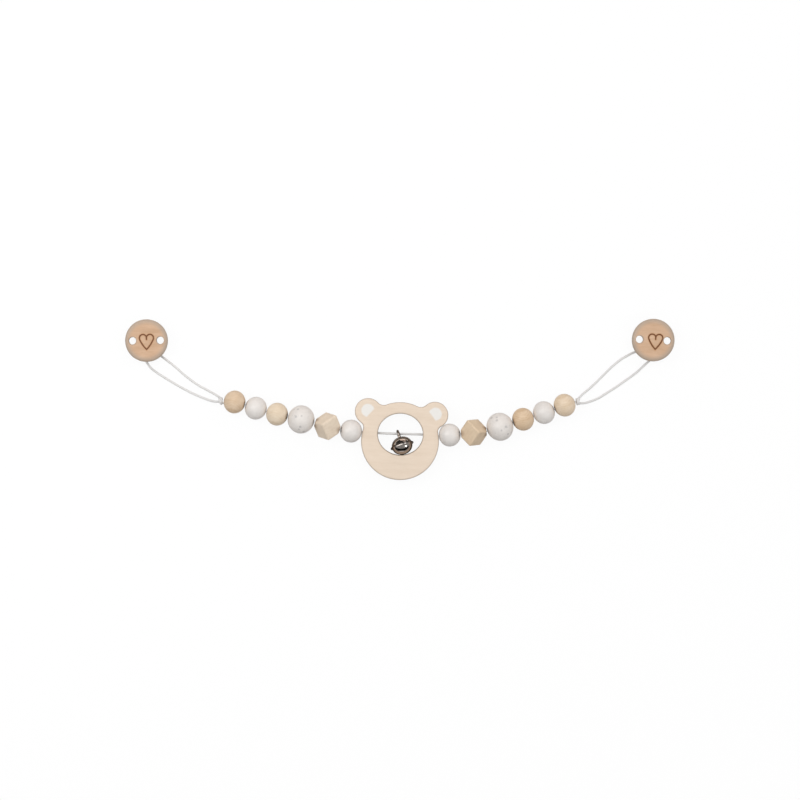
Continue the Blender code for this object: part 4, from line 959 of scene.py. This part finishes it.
def build_bell(material):
    world = bell_frame()
    add_piece("bell_top_form", lathe("top", shell_profile(1), TURNED_SIDES, smooth=50), world, "bell",
              ["bell_upper_shell"], material)
    slot = bpy.data.meshes.new("slot")
    mesh_data = bmesh.new()
    bmesh.ops.create_cube(mesh_data, size=1.0)
    bmesh.ops.scale(mesh_data, vec=BELL_SLOT, verts=mesh_data.verts)
    bmesh.ops.translate(mesh_data, vec=(0, 0, -BELL_SLOT_DEPTH), verts=mesh_data.verts)
    mesh_data.to_mesh(slot)
    mesh_data.free()
    holes = [moved(rod(BELL_SLOT[2], BELL_HOLE), Matrix.Translation((x, 0, -BELL_HOLE_DEPTH)))
             for x in (-BELL_HOLE_SPACING / 2, BELL_HOLE_SPACING / 2)]
    lower = carve(lathe("lower", shell_profile(-1), TURNED_SIDES, smooth=50), [slot, *holes], 50)
    add_piece("bell_bottom_form", lower, world, "bell", ["bell_lower_shell"], material)
    foot, top = BELL_HALF_HEIGHT - BELL_FOOT, BELL_HALF_HEIGHT + BELL_LEG
    line = [(BELL_LOOP_RADIUS, foot), *arc((0, top), BELL_LOOP_RADIUS, 0, 180, 32), (-BELL_LOOP_RADIUS, foot)]
    wire = tube("wire", [(0, y, z) for y, z in line], BELL_WIRE)
    moved(wire, Matrix.Rotation(math.radians(BELL_LOOP_TURN), 4, "Z"))
    dark = metal_look("bell_wire", *WIRE_TONES, 0.15, 0.3)
    add_piece("bell_wire_form", wire, world, "bell", ["bell_loop"], dark)


# Clip discs

def disc_mesh():
    wide, high = DISC_ROUND
    back_edge = arc((DISC_RADIUS - DISC_BACK_ROUND, DISC_BACK + DISC_BACK_ROUND), DISC_BACK_ROUND, -90, 0, 4)
    front_edge = [(DISC_RADIUS - wide * (1 - x), DISC_FRONT - high * (1 - y))
                  for x, y in arc((0, 0), 1, 0, 90, 12)]
    profile = [(0.0, DISC_BACK), (DISC_BACK_RING, DISC_BACK), *back_edge, *front_edge,
               *[(radius, DISC_FRONT) for radius in DISC_FRONT_RINGS], (0.0, DISC_FRONT)]
    middle = (DISC_BACK + DISC_FRONT) / 2
    vents = []
    for x in (-VENT_SPACING / 2, VENT_SPACING / 2):
        vent = rod(DISC_FRONT - DISC_BACK, VENT_DIAMETER, VENT_CHAMFER)
        vents.append(moved(vent, Matrix.Translation((x, 0, middle))))
    return carve(lathe("disc", profile, DISC_SIDES), vents, 35)


def build_all():
    # The cord inside the beads gets a darker copy of the cord, as painted shade in the gaps between beads
    cord, shaded_gap_cord = cord_look("cord"), cord_look("cord_in_shaded_gaps", 0.72)
    for side in SIDES:
        build_loop(side, cord)
        build_knot(side, cord)
        build_strands(side, shaded_gap_cord)
    build_center_cord(cord)
    build_beads()
    add_piece("bear_ring_form", bear_mesh(), bear_frame(), "bear", ["bear_ring"], bear_look())
    build_bell(bell_look("bell_metal"))
    steel = metal_look("clip_steel", *STEEL_TONES, 0.2, 0.42, (0.15, 3, 3))
    pad = pad_look("clip_pad")
    for side in SIDES:
        add_piece(f"clip_disc_{side}_form", disc_mesh(), clip_frame(side), f"clip_{side}",
                  [f"clip_disc_{side}"], disc_look(side))
        paint(f"clip_grip_{side}", pad)
        for name in ("plate", "pin", "lever"):
            paint(f"clip_{name}_{side}", steel)
        for number in (1, 2):
            paint(f"clip_rivet_{side}_{number}", steel)
    paint("bell_pellet", steel)


# Floor and light

def build_floor():
    mesh_data = bmesh.new()
    bmesh.ops.create_grid(mesh_data, x_segments=4, y_segments=4, size=3.0)
    data = bpy.data.meshes.new("floor")
    mesh_data.to_mesh(data)
    mesh_data.free()
    floor = bpy.data.objects.new("floor", data)
    bpy.context.scene.collection.objects.link(floor)
    look = Look("floor")
    nodes = look.tree.nodes
    nodes.remove(look.shader)
    # From above the floor keeps a faint shadow and lets the white world show; from below it is open,
    # so that a chain that hangs under it is seen and lit as well
    path = look.add("ShaderNodeLightPath")
    seen = look.math("MAXIMUM", path.outputs["Is Camera Ray"], path.outputs["Is Transmission Ray"])
    plain = look.add("ShaderNodeBsdfDiffuse", look.mix(seen, (0.60, 0.59, 0.58), (0.98, 0.98, 0.98)))
    clear = look.add("ShaderNodeBsdfTransparent", (1, 1, 1, 1))
    share = look.math("MAXIMUM", look.math("MULTIPLY", seen, 0.94),
                      look.add("ShaderNodeNewGeometry").outputs["Backfacing"])
    both = look.add("ShaderNodeMixShader", share, plain.outputs[0], clear.outputs[0])
    look.feed(nodes["Material Output"].inputs["Surface"], both.outputs[0])
    data.materials.append(look.material)


def add_lamp(name, spot, along, size, watts, colour):
    """An area light that faces the toy; its first size runs along the given direction."""
    data = bpy.data.lights.new(name, "AREA")
    data.shape = "RECTANGLE"
    data.size, data.size_y = size
    data.energy = watts
    data.color = colour
    lamp = bpy.data.objects.new(name, data)
    bpy.context.scene.collection.objects.link(lamp)
    lamp.matrix_world = frame_at(spot, along, Vector(spot))


def build_world():
    """White to the camera; as a light brightest overhead, with dark bands for the metal to show."""
    world = bpy.data.worlds.new("studio")
    bpy.context.scene.world = world
    world.use_nodes = True
    look = Graph(world.node_tree)
    back = look.tree.nodes["Background"]
    path = look.add("ShaderNodeLightPath")
    across, depth, height = look.parts(look.add("ShaderNodeTexCoord").outputs["Generated"])
    # What matt faces get: more from overhead, from the right and a little from behind
    soft = look.step(height, 0.0, 0.75, 0.24, 0.64)
    soft = look.math("MULTIPLY_ADD", depth, 0.08, soft)
    soft = look.math("MULTIPLY_ADD", across, 0.20, soft)
    # What glossy faces show: dim overhead, dark behind, bright low in front, a bright spot high on the left
    slant = look.math("ADD", depth, height)
    gloss = look.math("ADD", look.step(slant, -0.18, -0.04, 0.0, 0.30),
                      look.step(slant, -0.94, -0.86, 1.8, 0.0))
    gloss = look.math("MULTIPLY", gloss, look.step(depth, 0.25, 0.5, 1.0, 0.10))
    aim = look.math("MULTIPLY_ADD", depth, 0.30, look.math("MULTIPLY", height, 0.81))
    aim = look.math("MULTIPLY_ADD", across, -0.50, aim)
    gloss = look.math("ADD", gloss, look.step(aim, 0.93, 0.985, 0.0, 1.6))
    total = soft
    seen = look.math("MAXIMUM", path.outputs["Is Camera Ray"], path.outputs["Is Transmission Ray"])
    for share, level in ((path.outputs["Is Glossy Ray"], gloss), (seen, 1.0)):
        mixed = look.add("ShaderNodeMix", share)
        look.feed(mixed.inputs[2], total)
        look.feed(mixed.inputs[3], level)
        total = mixed.outputs[0]
    look.feed(back.inputs["Color"], (1, 1, 1, 1))
    look.feed(back.inputs["Strength"], total)


def build_light():
    build_world()
    for name, values in LAMPS.items():
        add_lamp(name, *values)


build_camera()
build_all()
build_floor()
build_light()
bpy.context.scene.view_settings.view_transform = "Standard"
